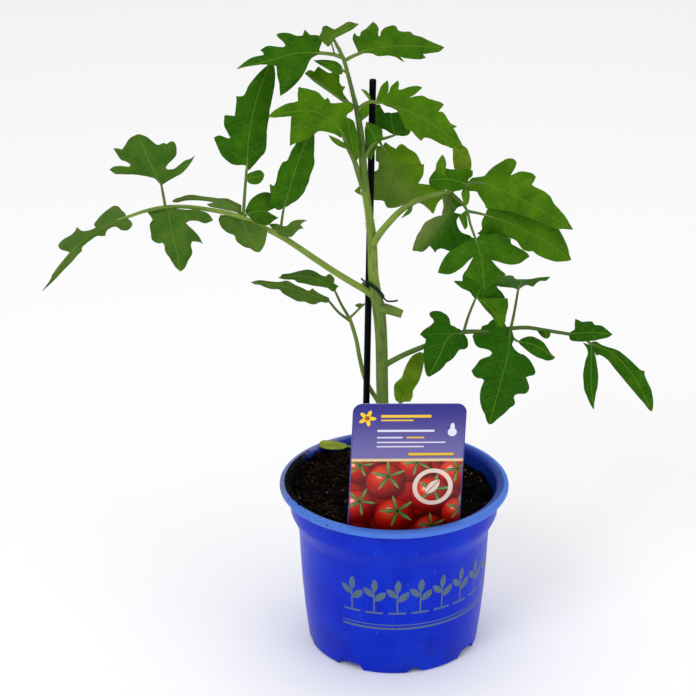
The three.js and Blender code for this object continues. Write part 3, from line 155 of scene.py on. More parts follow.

# Leaves. Each is a list of its stalks, which have a path, and its leaflets, which have a rib that runs
# from base to tip. left and right are a leaflet's two edges in that order, seen from the camera. rise
# and side say how far back the blade goes for each millimetre up or right of the rib, and cup how far
# it goes for each millimetre away from the rib. An edge point may say how far back it lies itself.
# youth and bloom say how fresh and how pale the blade is, as one value, or as a pair, one for each half of
# it, which paints a lit half and a shaded half where the blade folds at the rib.
LEAVES = {}
LEAVES["leaf_long_left"] = [{
    "path": [
        (-10.5, 98, -0.4), (-15, 101.3, -1.2), (-22, 105.3, -3.5), (-31, 110.8, -6), (-41, 117.4, -9),
        (-50, 123.6, -12), (-60, 129.9, -15), (-70, 134.9, -18), (-80, 139.6, -21), (-90, 142.4, -24),
        (-100, 144.2, -27), (-110, 145.3, -30), (-120, 145.2, -33), (-130, 143.4, -36), (-140, 140.1, -39),
        (-146, 138, -41),
    ],
    "radii": [1.9, 1.7, 1.6, 1.5, 1.3, 1.15, 1, 0.85, 0.7],
    "tones": [0.5, 1, 1.05, 1.05, 0.95, 0.5, 0.6, 0.7],
}, {
    "stalk": [(-79.5, 139.6, -20.8), (-79, 148, -20), (-78.3, 158, -17.5)],
    "rib": [(-77.6, 166.5, -15), (-76.5, 183, -8), (-72, 204, 1), (-65.5, 221.5, 8)],
    "left": [
        (-78.6, 167.2), (-81, 167.4), (-83.2, 167.3), (-85.5, 167.8), (-88, 169.5), (-91, 172.5),
        (-92.5, 175.5), (-93.8, 178.6), (-95, 181.6), (-92.5, 182.8), (-90, 182.3), (-87.5, 181.3),
        (-86.2, 181.6), (-88, 185), (-89.5, 188), (-89.6, 190.8), (-89.4, 193.3), (-88.2, 193.6),
        (-86, 193.3), (-84, 193), (-83.5, 197), (-83.1, 200.4), (-83.2, 203.6), (-80.5, 203.5),
        (-79, 204.2), (-77, 208.5), (-74.6, 212), (-72, 215), (-69, 218), (-67, 219.8),
    ],
    "right": [
        (-76.6, 164.4), (-73.5, 167.8), (-70.3, 171.6), (-68.4, 173.6), (-67.6, 175.8), (-67.1, 181),
        (-67.1, 184), (-66.8, 188), (-66, 192), (-65.6, 196.6), (-64.8, 200), (-64, 204), (-63.4, 207),
        (-62.9, 211), (-62.8, 216), (-63.4, 219.4),
    ],
    "side": 0.2, "cup": 0.12, "thick": 0.9, "youth": 0.2,
}, {
    "rib": [(-78, 159.8, -17.5), (-73, 161, -15), (-68.3, 162, -13)],
    "left": [(-77, 162.6), (-75, 163.6), (-73, 164.3), (-71, 164.6), (-69.6, 163.9)],
    "right": [(-76.5, 157.8), (-74.8, 157.2), (-72.5, 157.1), (-70.6, 157.9), (-69.2, 159.6)],
    "rise": 0.5, "youth": 0.35, "bloom": 0.08,
}, {
    "stalk": [(-60, 130.6, -15), (-59.2, 138, -14.6)],
    "rib": [(-58.1, 145, -14), (-54.5, 157, -12), (-50, 171, -7.5), (-44, 186, -2)],
    "left": [
        (-60.8, 143.6), (-63.4, 144.8), (-65.4, 146.6), (-64.9, 150), (-65.3, 153.5), (-65.5, 157.4),
        (-63.4, 156.2), (-62.2, 158.6), (-61.2, 163.5), (-60, 166.5), (-58.6, 168.9), (-56.5, 169.5),
        (-55.2, 172.2), (-54, 175), (-51.5, 179), (-49.6, 182.4), (-47.3, 186),
    ],
    "right": [
        (-56.4, 145.6), (-54, 147.2), (-51.6, 148.5), (-50, 150), (-47.5, 153), (-46.4, 155.6),
        (-45.2, 158), (-44.3, 161.5), (-43, 165), (-42, 168.3), (-42.3, 172), (-42.1, 178), (-42.3, 184),
    ],
    "side": 0.2, "cup": 0.12, "youth": 0.25,
}, {
    "stalk": [(-78.8, 139.4, -20.6)],
    "rib": [(-77.8, 141.2, -19.5), (-71, 143, -15.5), (-61, 139.4, -11)],
    "left": [
        (-78.3, 143), (-77, 146.5), (-75.5, 149), (-73, 151.2), (-71, 152.2), (-69, 152.8), (-67, 152.9),
        (-65.2, 152.4), (-63.6, 150.4), (-62.6, 147.6), (-63.4, 144.6), (-66.6, 142.9), (-64, 141.2),
    ],
    "right": [
        (-75, 138.8), (-72.6, 137), (-70, 136.1), (-68.2, 135.6), (-66.5, 135.7), (-64.8, 136.8),
        (-63.4, 138.1),
    ],
    "rise": 0.8, "youth": 0.3, "bloom": 0.12,
}, {
    "rib": [(-80.5, 139.4, -21.2), (-77, 131, -26), (-71, 121.3, -31)],
    "left": [
        (-86, 140.6), (-91.5, 141), (-92.4, 139), (-92.2, 137.4), (-91.4, 135.2), (-90, 133.5),
        (-87.5, 131.5), (-85.6, 130.9), (-84, 130), (-83.5, 128), (-82.4, 126.6), (-81, 125.5),
        (-79.4, 124.4), (-78, 123.8), (-76, 123.4), (-74.5, 122.3), (-72.6, 121.6),
    ],
    "right": [(-67.2, 133.6), (-67, 131), (-67.4, 128.7), (-68, 126), (-69.2, 123.6)],
    "side": 0.15, "cup": 0.1, "youth": 0.3, "bloom": 0.35,
}, {
    "rib": [
        (-80, 139.8, -20.8), (-85, 145.8, -19.5), (-97, 149.2, -16), (-108, 150, -14), (-117, 148.2, -12),
    ],
    "left": [
        (-82, 141.8), (-86, 143), (-92, 144.4), (-97.4, 145.6), (-98.6, 146.6), (-94.6, 147.7),
        (-100, 148.5), (-105, 148.8), (-110, 148.6), (-115, 147.6),
    ],
    "right": [
        (-80.5, 143.5), (-80.4, 146), (-84, 147.8), (-88, 149.5), (-93, 149.7), (-95, 150), (-100, 150.6),
        (-108, 151.5), (-113, 150.1), (-115.4, 149.4),
    ],
    "rise": 1.6, "youth": 0.35, "bloom": 0.4,
}, {
    "rib": [(-63, 132, -16), (-55, 134.4, -14), (-46, 138.2, -10)],
    "left": [
        (-66, 136.1), (-62, 136.3), (-59.4, 135.4), (-58, 135), (-56.5, 135.2), (-54, 137.4), (-51, 138.3),
        (-48, 138.4),
    ],
    "right": [(-54.5, 129.4), (-52, 131.5), (-50, 133.4), (-47.8, 134), (-49.4, 135.8), (-48, 137)],
    "rise": 1.1, "youth": 0.5, "bloom": 0.4,
}, {
    "stalk": [(-120.4, 144.2, -33), (-121.4, 150, -32.6)],
    "rib": [(-122.6, 156.6, -31.5), (-126, 163, -27), (-130, 172, -20), (-134.8, 183.6, -12)],
    "left": [
        (-124.6, 158.8), (-126.4, 160.4), (-128.5, 160.9), (-133, 161.8), (-137, 162.3), (-142.5, 162.4),
        (-147.2, 162.8), (-149.9, 164.9), (-148, 166.3), (-145.5, 166.7), (-143.5, 166.8), (-139.5, 166.3),
        (-138.8, 167.4), (-141, 169), (-144, 170.1), (-146, 173), (-148.1, 176.1), (-145.5, 176),
        (-143.4, 175.5), (-141.5, 178), (-140.1, 180.3), (-138.6, 181.8), (-137, 182.7),
    ],
    "right": [
        (-119.5, 158.8), (-116, 160.7), (-112, 162.9), (-109.8, 165), (-108.4, 166.8), (-106.6, 169.4),
        (-104.9, 172.3), (-107.7, 170.5), (-110, 169.8), (-113, 167.5), (-116, 165.3), (-119.5, 165),
        (-120.4, 166), (-119, 168), (-116.5, 170.5), (-114.8, 173), (-114.9, 177.3), (-115.8, 179.4),
        (-117.5, 179.8), (-120, 178.3), (-121.2, 178.9), (-124.5, 177.8), (-127, 179.3), (-129.5, 181.5),
        (-132.4, 183),
    ],
    "cup": 0.12, "youth": 0.25, "bloom": 0.25,
}, {
    "rib": [(-119.4, 144.9, -33), (-117.5, 134, -38), (-114.6, 122, -43.5), (-112.6, 111.2, -47)],
    "left": [
        (-125, 144.2), (-130.2, 142.6), (-128.5, 140.5), (-127.2, 138.4), (-128.7, 136), (-128.2, 132),
        (-127.5, 127.9), (-125.5, 126.5), (-123.5, 126), (-122, 126.4), (-121, 125), (-120.8, 122.8),
        (-120, 120.8), (-118.6, 119), (-117, 116.4), (-115.5, 114), (-114, 112.4),
    ],
    "right": [
        (-110, 143.8), (-104, 143.6), (-98.4, 142), (-96.6, 140.2), (-95.3, 138.1), (-99.5, 136.6),
        (-104, 137.9), (-108, 137.8), (-109.8, 136.8), (-107.8, 134.8), (-104.8, 132), (-102.4, 129),
        (-100.8, 125.8), (-103, 126.8), (-106.4, 127), (-107.2, 125), (-106.4, 122), (-106.6, 120.4),
        (-108.5, 117), (-110.3, 113),
    ],
    "side": 0.1, "cup": 0.12, "youth": 0.25, "bloom": 0.28,
}, {
    "rib": [(-141, 139.8, -39.4), (-152, 135, -44), (-163, 128, -49), (-172, 119, -54), (-185.2, 101, -61)],
    "left": [
        (-138, 136.6), (-138.6, 134.6), (-140.6, 133), (-142.4, 132.9), (-144, 133.2), (-146.6, 134.9),
        (-148.5, 134.6), (-151.4, 132.8), (-152.3, 130), (-154.4, 129.9), (-156.5, 130), (-160, 127.8),
        (-162, 126.3), (-164.5, 123.8), (-164.7, 122), (-166.4, 120.4), (-170, 116.2), (-174.4, 111.8),
        (-178.2, 107.7), (-182, 104),
    ],
    "right": [
        (-142, 142), (-143.6, 143.4), (-145.2, 145.3), (-147.5, 145.7), (-150.5, 144), (-153, 142),
        (-155.5, 139.5), (-158.2, 136), (-157.2, 134.2), (-160, 133), (-164.4, 132.5), (-167.1, 134.6),
        (-168, 132.5), (-170, 130.5), (-174, 128.2), (-176.4, 125.9), (-176.9, 124.4), (-175.8, 122.9),
        (-172.8, 122), (-170.8, 121.4), (-174.6, 116.8), (-177.6, 112.9), (-180.4, 108.8), (-180.8, 107.4),
    ],
    "rise": 1.3, "side": -0.6, "youth": 0.3, "bloom": 0.35,
}]
LEAVES["leaf_low_left"] = [{
    "path": [
        (-6.4, 39.5, 0.5), (-9.2, 44, 5), (-12.4, 49, 10), (-15.6, 55.5, 14), (-18.2, 66, 18),
        (-19.9, 75, 20), (-21.9, 82, 21), (-23.8, 87.5, 22),
    ],
    "radii": [1.3, 1.15, 1],
    "tones": [0.3, 0.55, 0.7],
}, {
    "path": [(-23.6, 86.5, 21.8), (-20, 90, 22), (-15.5, 94.3, 24)],
    "radii": [0.7, 0.5],
}, {
    "stalk": [(-24, 87.4, 22), (-28, 94.2, 24)],
    "rib": [(-31, 100.6, 27), (-38, 106, 31), (-47, 108.6, 36), (-61, 107.9, 44)],
    "left": [
        (-33, 101), (-34.5, 102.3), (-37, 103), (-43, 103.8), (-47, 104.8), (-51, 105.5), (-52.5, 106.7),
        (-56, 107), (-59, 107.3),
    ],
    "right": [
        (-30, 102.8), (-29.2, 103.3), (-31.8, 105), (-31.5, 107.2), (-33.6, 109.7), (-34.5, 109.8),
        (-36, 108.6), (-38, 109), (-42, 111.3), (-45, 112.1), (-50, 111.4), (-55, 110.1), (-59, 109.6),
        (-59.8, 108.6),
    ],
    "rise": 1.2, "youth": 0.3, "bloom": 0.22,
}, {
    "stalk": [(-23.6, 85.4, 21.8), (-29.2, 89.6, 21)],
    "rib": [(-34, 95.2, 20), (-42, 98.3, 23), (-52, 101.5, 28), (-62, 104, 32), (-75.3, 105.5, 37)],
    "left": [
        (-36, 94.8), (-38.5, 95.2), (-42, 93.8), (-45, 94.4), (-47, 95.2), (-51, 95.6), (-55, 97.6),
        (-59, 100), (-60.4, 101.7), (-65, 102), (-68, 102.9), (-71, 104.2), (-73.5, 104.4),
    ],
    "right": [
        (-34, 96.2), (-34.6, 97.4), (-36, 98), (-40, 100), (-43, 102.3), (-45, 101), (-48, 102.3),
        (-52, 104), (-56.5, 106.3), (-60, 105.7), (-65, 105.9), (-71, 106.5),
    ],
    "rise": 1, "youth": 0.35, "bloom": 0.35,
}, {
    "rib": [(-15.8, 93.4, 24), (-18.4, 93.3, 25), (-20.8, 93.5, 26)],
    "left": [(-18.6, 92.1)],
    "right": [(-18, 94.5)],
    "thick": 0.5, "youth": 0.4, "bloom": 0.4,
}]
LEAVES["leaf_low_right"] = [{
    "path": [
        (-6.5, 60.6, -0.5), (-3, 62.9, -0.8), (5, 67.2, 0.5), (15, 71.4, 1.5), (26, 75.8, 3),
        (36.5, 79.2, 4), (47, 79.6, 6), (59, 81, 8), (70, 81.6, 10), (78, 80.5, 12), (86, 79.2, 14),
        (95, 77.8, 18),
    ],
    "radii": [1.6, 1.4, 1.25, 1.1, 1, 0.9],
    "tones": [0.3, 0.15, 0],
}, {
    "rib": [(36, 79.2, 3.6), (29, 77, -2.5), (24, 67, -6), (18.5, 55.7, -9)],
    "left": [
        (34.6, 80.8), (33, 81.4), (31.5, 82.4), (30, 83), (29.4, 85), (28.8, 87), (27, 88.8), (24.5, 90.1),
        (22, 90.4), (20, 90.2), (18.6, 89.2), (19, 87.5), (20.5, 86), (21, 84.6), (19, 82.5), (16.5, 81),
        (14.8, 79.4), (13.6, 77.9), (15.4, 76.6), (16.8, 75.3), (16.2, 73), (15.7, 70), (15.4, 68),
        (15.8, 63), (16.4, 58.6), (17.4, 56.3),
    ],
    "right": [
        (38.2, 76.5), (38.9, 74.5), (38.7, 71.5), (37, 70.3), (34.5, 70), (33, 68.2), (32, 66.5),
        (30, 64.5), (27.5, 63), (26, 61), (23, 58.3), (20, 56.6),
    ],
    "cup": 0.15, "youth": -0.15,
}, {
    "stalk": [(36.7, 79.4, 4), (38.9, 87, 2.5)],
    "rib": [(42.8, 96.8, 0.5), (46, 103, 3), (50.5, 113, 6)],
    "left": [
        (41.4, 98.4), (40, 100.3), (35.5, 102.5), (31.3, 106.1), (33.6, 106.3), (36, 106.1), (36.4, 109.6),
        (38.4, 112), (43, 113.4),
    ],
    "right": [(47, 96.3), (53, 95.8), (58.5, 97.3), (57, 100), (54.3, 103), (54, 107), (53, 110)],
    "rise": 0.4, "youth": 0.2,
}, {
    "rib": [(43.4, 97.6, 0.6), (51, 92, -2), (57, 81.8, -4)],
    "left": [(46, 94), (48, 91.4), (52, 87), (54, 82)],
    "right": [(50, 97.2), (56, 97.2), (59.8, 97), (60.1, 93), (59, 88), (58.4, 84)],
    "thick": 0.6, "youth": 0.45, "bloom": 0.05,
}, {
    "stalk": [(61.6, 81.6, 8.2), (63.2, 89, 7)],
    "rib": [(65.4, 101.6, 5), (66.5, 104.5, 14), (67.5, 107, 22)],
    "left": [
        (63, 102.6), (60, 102.9), (55, 103.5), (50, 106), (54.6, 107.8), (59.5, 109), (62.5, 108.8),
        (64, 107.2),
    ],
    "right": [
        (68, 103.4), (70, 104.2), (73.3, 103.4), (75, 105), (77, 106.3), (80, 106.4), (82.2, 108.4),
        (76, 107.9), (72, 107.1), (69, 107),
    ],
    "rise": 1.8, "youth": 0.2, "bloom": 0.1,
}, {
    "stalk": [(60.8, 81.4, 8)],
    "rib": [(61, 79.6, 6), (60.5, 70, 2), (57.5, 58, -1), (54, 45, -4), (50, 30.6, -8)],
    "left": [
        (58, 84), (56, 86), (53, 86.1), (51, 85.3), (49.5, 83.5), (46.5, 82.4), (45.6, 80.6), (43, 79),
        (41.4, 77.4), (41.9, 75), (43, 72.3), (45, 71), (48, 70.4), (50.5, 69.5), (51.7, 68.2),
        (50.5, 66.7), (47, 65.5), (45, 64.4), (43, 61.5), (40.8, 59), (42, 56.4), (44, 55), (46.5, 54.7),
        (47.5, 53.7), (46.3, 51), (45.3, 47), (45.3, 43), (46.3, 39), (48, 35.5), (48.8, 32.6),
    ],
    "right": [
        (62.6, 77), (63, 75), (62.2, 72.6), (63.4, 70.4), (66, 68.2), (68.5, 67.2), (71, 65), (73, 62),
        (74.4, 58), (73.5, 56.7), (71, 56.2), (69.5, 55.4), (70.5, 53), (71.2, 50), (70.5, 48), (69, 46.8),
        (65, 46.7), (63.5, 45.9), (63, 45), (63.7, 42.5), (63.3, 41), (61, 39.4), (58.5, 36.8), (55, 33.9),
        (52, 31.2),
    ],
    "side": 0.15, "cup": 0.12,
}, {
    "stalk": [(61.4, 80.4, 8), (63, 75.8, 6)],
    "rib": [(65.6, 74.2, 5), (74, 72.4, 3), (84.8, 65.6, 0)],
    "left": [
        (66.4, 75.2), (68, 76.1), (71, 77), (73, 76.9), (75, 76.1), (78.5, 74), (81, 70.6), (82.8, 67.8),
        (84.6, 66.2),
    ],
    "right": [(66.2, 73), (67.8, 71.6), (71, 68.8), (75, 66.2), (78, 65.1), (81, 64.2), (83.4, 64.7)],
    "rise": 0.5, "youth": 0.1,
}, {
    "rib": [(79.6, 80.4, 12.2), (80, 78.4, 10), (80.4, 75.8, 7)],
    "left": [(75.4, 80.2), (76.2, 78.8), (77.4, 77.3), (79, 76.1)],
    "right": [(82.4, 79.3), (82.3, 77.6), (81.6, 76.4)],
    "youth": 0.15,
}, {
    "rib": [(92, 78.2, 16.5), (103, 79, 19), (115.2, 78.1, 22)],
    "left": [
        (93.6, 79.8), (95, 80.6), (95.2, 84), (95.5, 86.1), (97, 85.6), (99, 84.6), (101.6, 84.8),
        (104.5, 84.6), (105.4, 83.2), (109.5, 82.5), (112, 80.6), (113.8, 79.2),
    ],
    "right": [(92.8, 75.2), (94, 74.6), (99, 74.3), (103, 74.5), (106, 74.9), (110, 75.8), (113, 76.6)],
    "rise": 0.9, "youth": 0.05,
}, {
    "stalk": [(93.5, 78, 17.4), (99.5, 76.8, 18)],
    "rib": [(104, 72.2, 18), (103.8, 62, 15), (104, 50, 12), (105.3, 38.5, 9)],
    "left": [
        (99.4, 73.8), (101.4, 71), (102.2, 68.6), (101.8, 66.6), (101, 64.8), (100.2, 61), (99.6, 57),
        (99.9, 52), (100.2, 49), (101.8, 45), (103.6, 41),
    ],
    "right": [(105.4, 69), (106.2, 66), (107, 61), (107.5, 57), (107.2, 51), (106.2, 46.6), (105.6, 42.4)],
    "side": 0.3, "youth": -0.2,
}, {
    "rib": [(103.2, 73.6, 18), (115, 68, 20), (127, 55, 18), (135.8, 37.4, 14)],
    "left": [
        (106, 74.4), (110, 72.2), (114, 71), (118, 69.6), (121.5, 67), (125, 64), (127.6, 61.4),
        (130, 59.3), (132.1, 58.7), (131.9, 57), (133.5, 53), (135.4, 49), (136.4, 44), (136.5, 40),
    ],
    "right": [
        (106.5, 67), (108, 67.4), (112, 65.2), (116, 60.4), (120, 55.6), (124, 50.8), (128, 46),
        (132, 41.4), (134.4, 38.2),
    ],
    "cup": 0.15, "youth": 0.25,
}]
LEAVES["leaf_right"] = [{
    "path": [
        (-11.2, 125.6, -1.6), (-8.8, 129.5, -4), (-4, 135.5, -9), (3, 142.8, -14.5), (10, 147.6, -19),
        (19, 151, -23), (28, 152.8, -26), (36, 156.8, -31), (45, 158.4, -36), (55, 155, -41.5),
    ],
    "radii": [2.1, 1.7, 1.5, 1.3, 1.15, 0.8],
    "tones": [0.8, 0.95, 0.65, 0.6, 0.3, 0.2],
}, {
    "rib": [(10.2, 147.4, -19), (7.4, 142.6, -18.5), (3.8, 139.2, -18)],
    "left": [(6.4, 142.9)],
    "right": [(8.8, 142.4)],
    "youth": 0.5, "bloom": 0.2,
}, {
    "rib": [(38, 157.4, -33), (28, 160, -37), (18.4, 159.4, -40)],
    "left": [(36.6, 155), (34.6, 154), (32.4, 153.7), (28, 154.2), (23, 154.3), (20, 155), (18.6, 157.2)],
    "right": [
        (39.6, 160.2), (41.2, 161.6), (41.5, 164.3), (38, 165.2), (34, 165.2), (30, 165), (27.5, 165.5),
        (24.5, 165.3), (22, 164.8), (20.4, 163), (18.9, 160.8),
    ],
    "rise": 0.2, "youth": 0.35,
}, {
    "rib": [(27, 160.6, -37), (25.4, 166, -39), (25.8, 172.6, -41)],
    "left": [(22, 164.4), (22, 166), (22.3, 168), (24, 171), (25, 172.2)],
    "right": [(27.3, 165.6), (27.5, 168), (27, 170.2)],
    "thick": 0.5, "youth": 0.65, "bloom": 0.05,
}, {
    "rib": [
        (38.4, 156.9, -32.6), (46, 157.8, -37), (55, 155, -43), (64, 151, -48), (75, 145, -54),
        (94.2, 133.3, -64),
    ],
    "left": [
        (39, 153.6), (43.6, 153.3), (45, 151), (46.6, 148.6), (48, 146.4), (48.6, 144.5), (52, 144.4),
        (60, 143), (67, 141), (75, 138), (80.4, 135.6), (85.5, 133.7), (91, 133.6),
    ],
    "right": [
        (41, 160.4), (44, 160.9), (47.5, 161.6), (50, 164.3), (53.5, 167.2), (57, 169.3), (59, 170.5),
        (61, 170.8), (63, 170.4), (64.4, 168.9), (64, 166.5), (62.4, 163.6), (61.4, 161.8), (64, 163),
        (66.5, 163.8), (70, 163.6), (73, 162.8), (74.7, 161.2), (73.6, 158.6), (72.5, 157), (74.4, 155.6),
        (76.2, 154.8), (79, 153.5), (82.5, 150.5), (84, 147.4), (87, 144), (90, 140.5), (92.2, 136.8),
    ],
    "rise": 0.1, "cup": 0.1, "youth": 0.55, "bloom": 0.03,
}, {
    "stalk": [(38.5, 143, -36), (44, 142, -36)],
    "rib": [(48, 141, -36), (58, 138, -39), (68, 133, -43), (78, 128.5, -48), (93.3, 117.3, -55)],
    "left": [
        (46.6, 138.5), (46.1, 136), (46.3, 133.6), (43.8, 131.2), (47, 129.6), (50, 128.8), (56, 129.2),
        (62, 128.6), (64.8, 127), (66.4, 124.6), (68.2, 122.6), (71, 121.8), (73, 121.9), (75, 120.3),
        (78.4, 118.6), (82, 117.3), (86, 116.4), (91, 116.7),
    ],
    "right": [
        (50, 146), (60, 144.6), (68, 142.2), (75, 139.6), (80, 137.6), (85.5, 135), (88.2, 131),
        (90.2, 127), (91.6, 123.6), (92.2, 120.6),
    ],
    "rise": 0.1, "cup": 0.1, "youth": 0.45, "bloom": 0.05,
}, {
    "rib": [(29, 152.6, -26.4), (28.8, 143, -29), (22, 133.5, -32), (9.8, 122.3, -36)],
    "left": [
        (24.9, 150.6), (25.9, 147.4), (25.9, 144.6), (25.3, 142.6), (25.2, 140.8), (22, 140.1), (19.5, 139),
        (16.3, 137), (14, 133.2), (12.4, 130.8), (11.4, 128.4), (10.2, 125),
    ],
    "right": [
        (34.6, 149.6), (36.6, 145.8), (33.6, 145), (31.6, 142.2), (35.6, 141.4), (33, 138.2), (35, 132.4),
        (40.4, 130), (40, 126.4), (35, 124), (32.4, 122.7), (30, 121.7), (28, 122.4), (25, 123.3),
        (22.6, 122.6), (21.7, 121.1), (20.2, 123.2), (18.7, 124.9), (17, 123.1), (15, 121.7), (12.4, 121.9),
    ],
    # The pair paints light and shade on the two halves of the fold: one half pale and grey, the other deep
    # green.
    "side": 0.25, "youth": (0.5, 0.05), "bloom": (0.85, 0.0),
}, {
    "stalk": [(29.5, 153.2, -27), (36, 147, -32), (38.5, 143, -36), (40.2, 136, -40)],
    "rib": [(43, 128.2, -44), (46, 118, -47), (47.6, 101.6, -50)],
    "left": [
        (40.6, 129.4), (39, 127.8), (37, 126.3), (33, 124), (29, 121.6), (26, 117.5), (24, 113.5),
        (23.1, 110.4), (26, 110), (29.6, 109.8), (34, 112), (37, 114.4), (39.2, 116.8), (41.9, 118.9),
        (40.4, 116.3), (38.5, 112.5), (36.8, 109.4), (39.6, 107.8), (43, 106), (45.6, 103.6),
    ],
    "right": [
        (46, 130.8), (50, 130.6), (54, 131), (57.6, 129.6), (61.5, 128.4), (61.6, 126), (64, 124.5),
        (68, 122.4), (70.5, 120.6), (71.4, 119), (69, 117.4), (66, 115.4), (60, 115), (55, 116.4),
        (51, 117.3), (55, 113), (59, 109.7), (56.4, 107.6), (54, 105.9), (50.4, 103.6),
    ],
    "cup": 0.15, "youth": 0.3, "bloom": 0.05,
}, {
    "rib": [(38, 143.6, -36), (36.7, 138.6, -36.6), (37.3, 133.2, -38)],
    "left": [(34, 140.4), (35.4, 137)],
    "right": [(38.4, 139.4), (38.6, 135)],
    "thick": 0.5, "youth": 0.35, "bloom": 0.1,
}, {
    "rib": [(37.6, 157, -32), (37.7, 152, -34), (37.3, 145, -36.5)],
    "left": [(35.5, 152.4), (36.4, 148)],
    "right": [(39.7, 153), (39.2, 147.6)],
    "thick": 0.5, "youth": 0.5, "bloom": 0.1,
}]
LEAVES["leaf_mid_right"] = [{
    "path": [
        (-16.2, 169.6, 0), (-14.5, 173, -0.4), (-12.4, 176.6, 0.4), (-10.4, 179, 1.2), (-8, 180.6, 4.5),
        (-4.8, 181.4, 8.4),
    ],
    "radii": [1.2, 1, 0.8],
}, {
    "rib": [(-8.6, 178.4, 1.4), (-11, 183, 0.4), (-14.7, 190, -1)],
    "left": [(-12, 170), (-14.4, 172.6), (-15.2, 177), (-15.2, 181), (-15.4, 186)],
    "right": [(-6, 181), (-6.1, 184), (-6.5, 186.4), (-8.4, 188), (-11, 188.9)],
    "thick": 0.5, "youth": 0.3,
}, {
    "stalk": [(-5.4, 181.2, 7.8)],
    "rib": [(0.4, 183, 11), (-1, 188.6, 14), (-1.5, 194.6, 18)],
    "left": [
        (-2.2, 184.4), (-5.4, 186.2), (-9.9, 186.4), (-10.6, 192), (-10.3, 199.4), (-7.3, 199.1),
        (-6.8, 197.6), (-5.8, 196), (-5.2, 194.8), (-3, 195),
    ],
    "right": [(6, 182.7), (7.9, 183.6), (8.8, 186.2), (7.2, 188), (6.2, 190), (5, 195), (2, 195.2)],
    "rise": 0.4,
}, {
    "stalk": [(-8, 180.4, 4.5)],
    "rib": [(-6.2, 177, 7.6), (0, 169, 10.5), (8, 161, 12.5), (20.6, 141.6, 15)],
    "left": [
        (-9.4, 177.6), (-9.6, 173), (-9.5, 169.6), (-8.2, 168.8), (-8.2, 166.6), (-8.4, 165),
        (-10.4, 163.9), (-14, 163), (-16, 158), (-15, 150), (-11, 149), (-5.5, 148.3), (-4.6, 146.4),
        (-3.5, 144.9), (1, 145), (5.4, 146.6), (10, 147.8), (13.6, 147.2), (16.5, 145.6),
    ],
    "right": [
        (-4.6, 179.4), (-1.6, 177.2), (1, 175.8), (2.6, 177.8), (4, 178.4), (5.8, 177.4), (7.5, 176),
        (11.5, 173.5), (13.2, 170.6), (14.5, 167.6), (15.8, 167.8), (15.6, 164.6), (15.2, 161.6),
        (13.8, 159.4), (12.6, 157.6), (18, 156.9), (27, 154.6), (26, 150.6), (23, 147.2),
    ],
    # The pair paints light and shade on the two halves of the fold: one half greyer and paler, the other
    # clear green.
    "side": -0.06, "cup": 0.12, "youth": (0.8, 0.95), "bloom": (0.4, 0.02),
}]
LEAVES["leaf_upper_right"] = [{
    "path": [(-19.4, 195.4, 0), (-16.8, 198.6, -1), (-12.5, 200.6, -1.2), (-8, 200.3, -2)],
    "radii": [1, 0.9],
}, {
    "rib": [(-12.5, 200.8, -1.2), (-14, 203.9, -0.6), (-17.5, 207.4, 0.4)],
    "left": [(-14.8, 203.8)],
    "right": [(-12.6, 203.4), (-14.6, 206.4)],
    "thick": 0.5, "youth": 0.8, "bloom": 0.1,
}, {
    "rib": [(-16, 199.2, -0.9), (-15.8, 195, -0.4), (-15.6, 191.8, 0)],
    "left": [(-18.6, 198.6), (-18.2, 195), (-18, 192), (-17.2, 190.6)],
    "right": [(-13.3, 199.6), (-13.3, 196.4), (-13.6, 193.6)],
    "thick": 0.5, "youth": 0.6,
}, {
    "rib": [
        (-9.5, 200.5, -1.8), (2, 197.8, -5), (15, 192, -10), (25, 185.5, -15), (31, 181, -18),
        (36.4, 177, -21),
    ],
    "left": [
        (-9, 203.2), (-8, 206), (-6.8, 208.8), (-5, 210.8), (-3.5, 212), (-2.9, 210), (-3, 207),
        (-3.5, 204.7), (-2.5, 206), (-1.7, 208.6), (0, 210.3), (1.9, 211.9), (2.6, 210.4), (2.2, 207.2),
        (4, 207.1), (7, 208.2), (10, 208.8), (12.5, 209), (14.8, 208.1), (11, 204.7), (7.6, 202.7),
        (9.5, 203.2), (12, 203.7), (15, 203.8), (18, 202.3), (21.4, 201.3), (24.5, 200.4), (26.3, 199.1),
        (24.5, 197), (23.2, 195.5), (25.6, 195.1), (27, 193.5), (28.5, 191), (30, 189), (31.6, 188.3),
        (33.3, 187.6), (31.2, 186.7), (32.5, 184.5), (34, 181.5), (35.4, 179),
    ],
    "right": [
        (-6.6, 199.6), (-4, 198.5), (0, 197), (1.5, 196), (4, 191), (6.4, 186.2), (9, 185.3), (11.5, 182.5),
        (14.2, 180), (16, 181.8), (18, 181.6), (20, 180.9), (25, 178.3), (28.4, 177), (31.2, 176),
    ],
    "rise": 0.3, "cup": 0.12, "youth": 0.62,
}, {
    "rib": [(34.5, 178.4, -20), (36.4, 170, -20), (36.2, 160.4, -18)],
    "left": [(31.2, 176.6), (31, 173), (31, 170), (31.6, 166), (32.6, 163), (34.4, 161)],
    "right": [(38, 176.4), (39.6, 173), (40.5, 170), (40.7, 167), (40.2, 164.4), (38.6, 161.8)],
    "side": 0.3, "thick": 0.5, "youth": 1.2, "bloom": 0.05,
}]
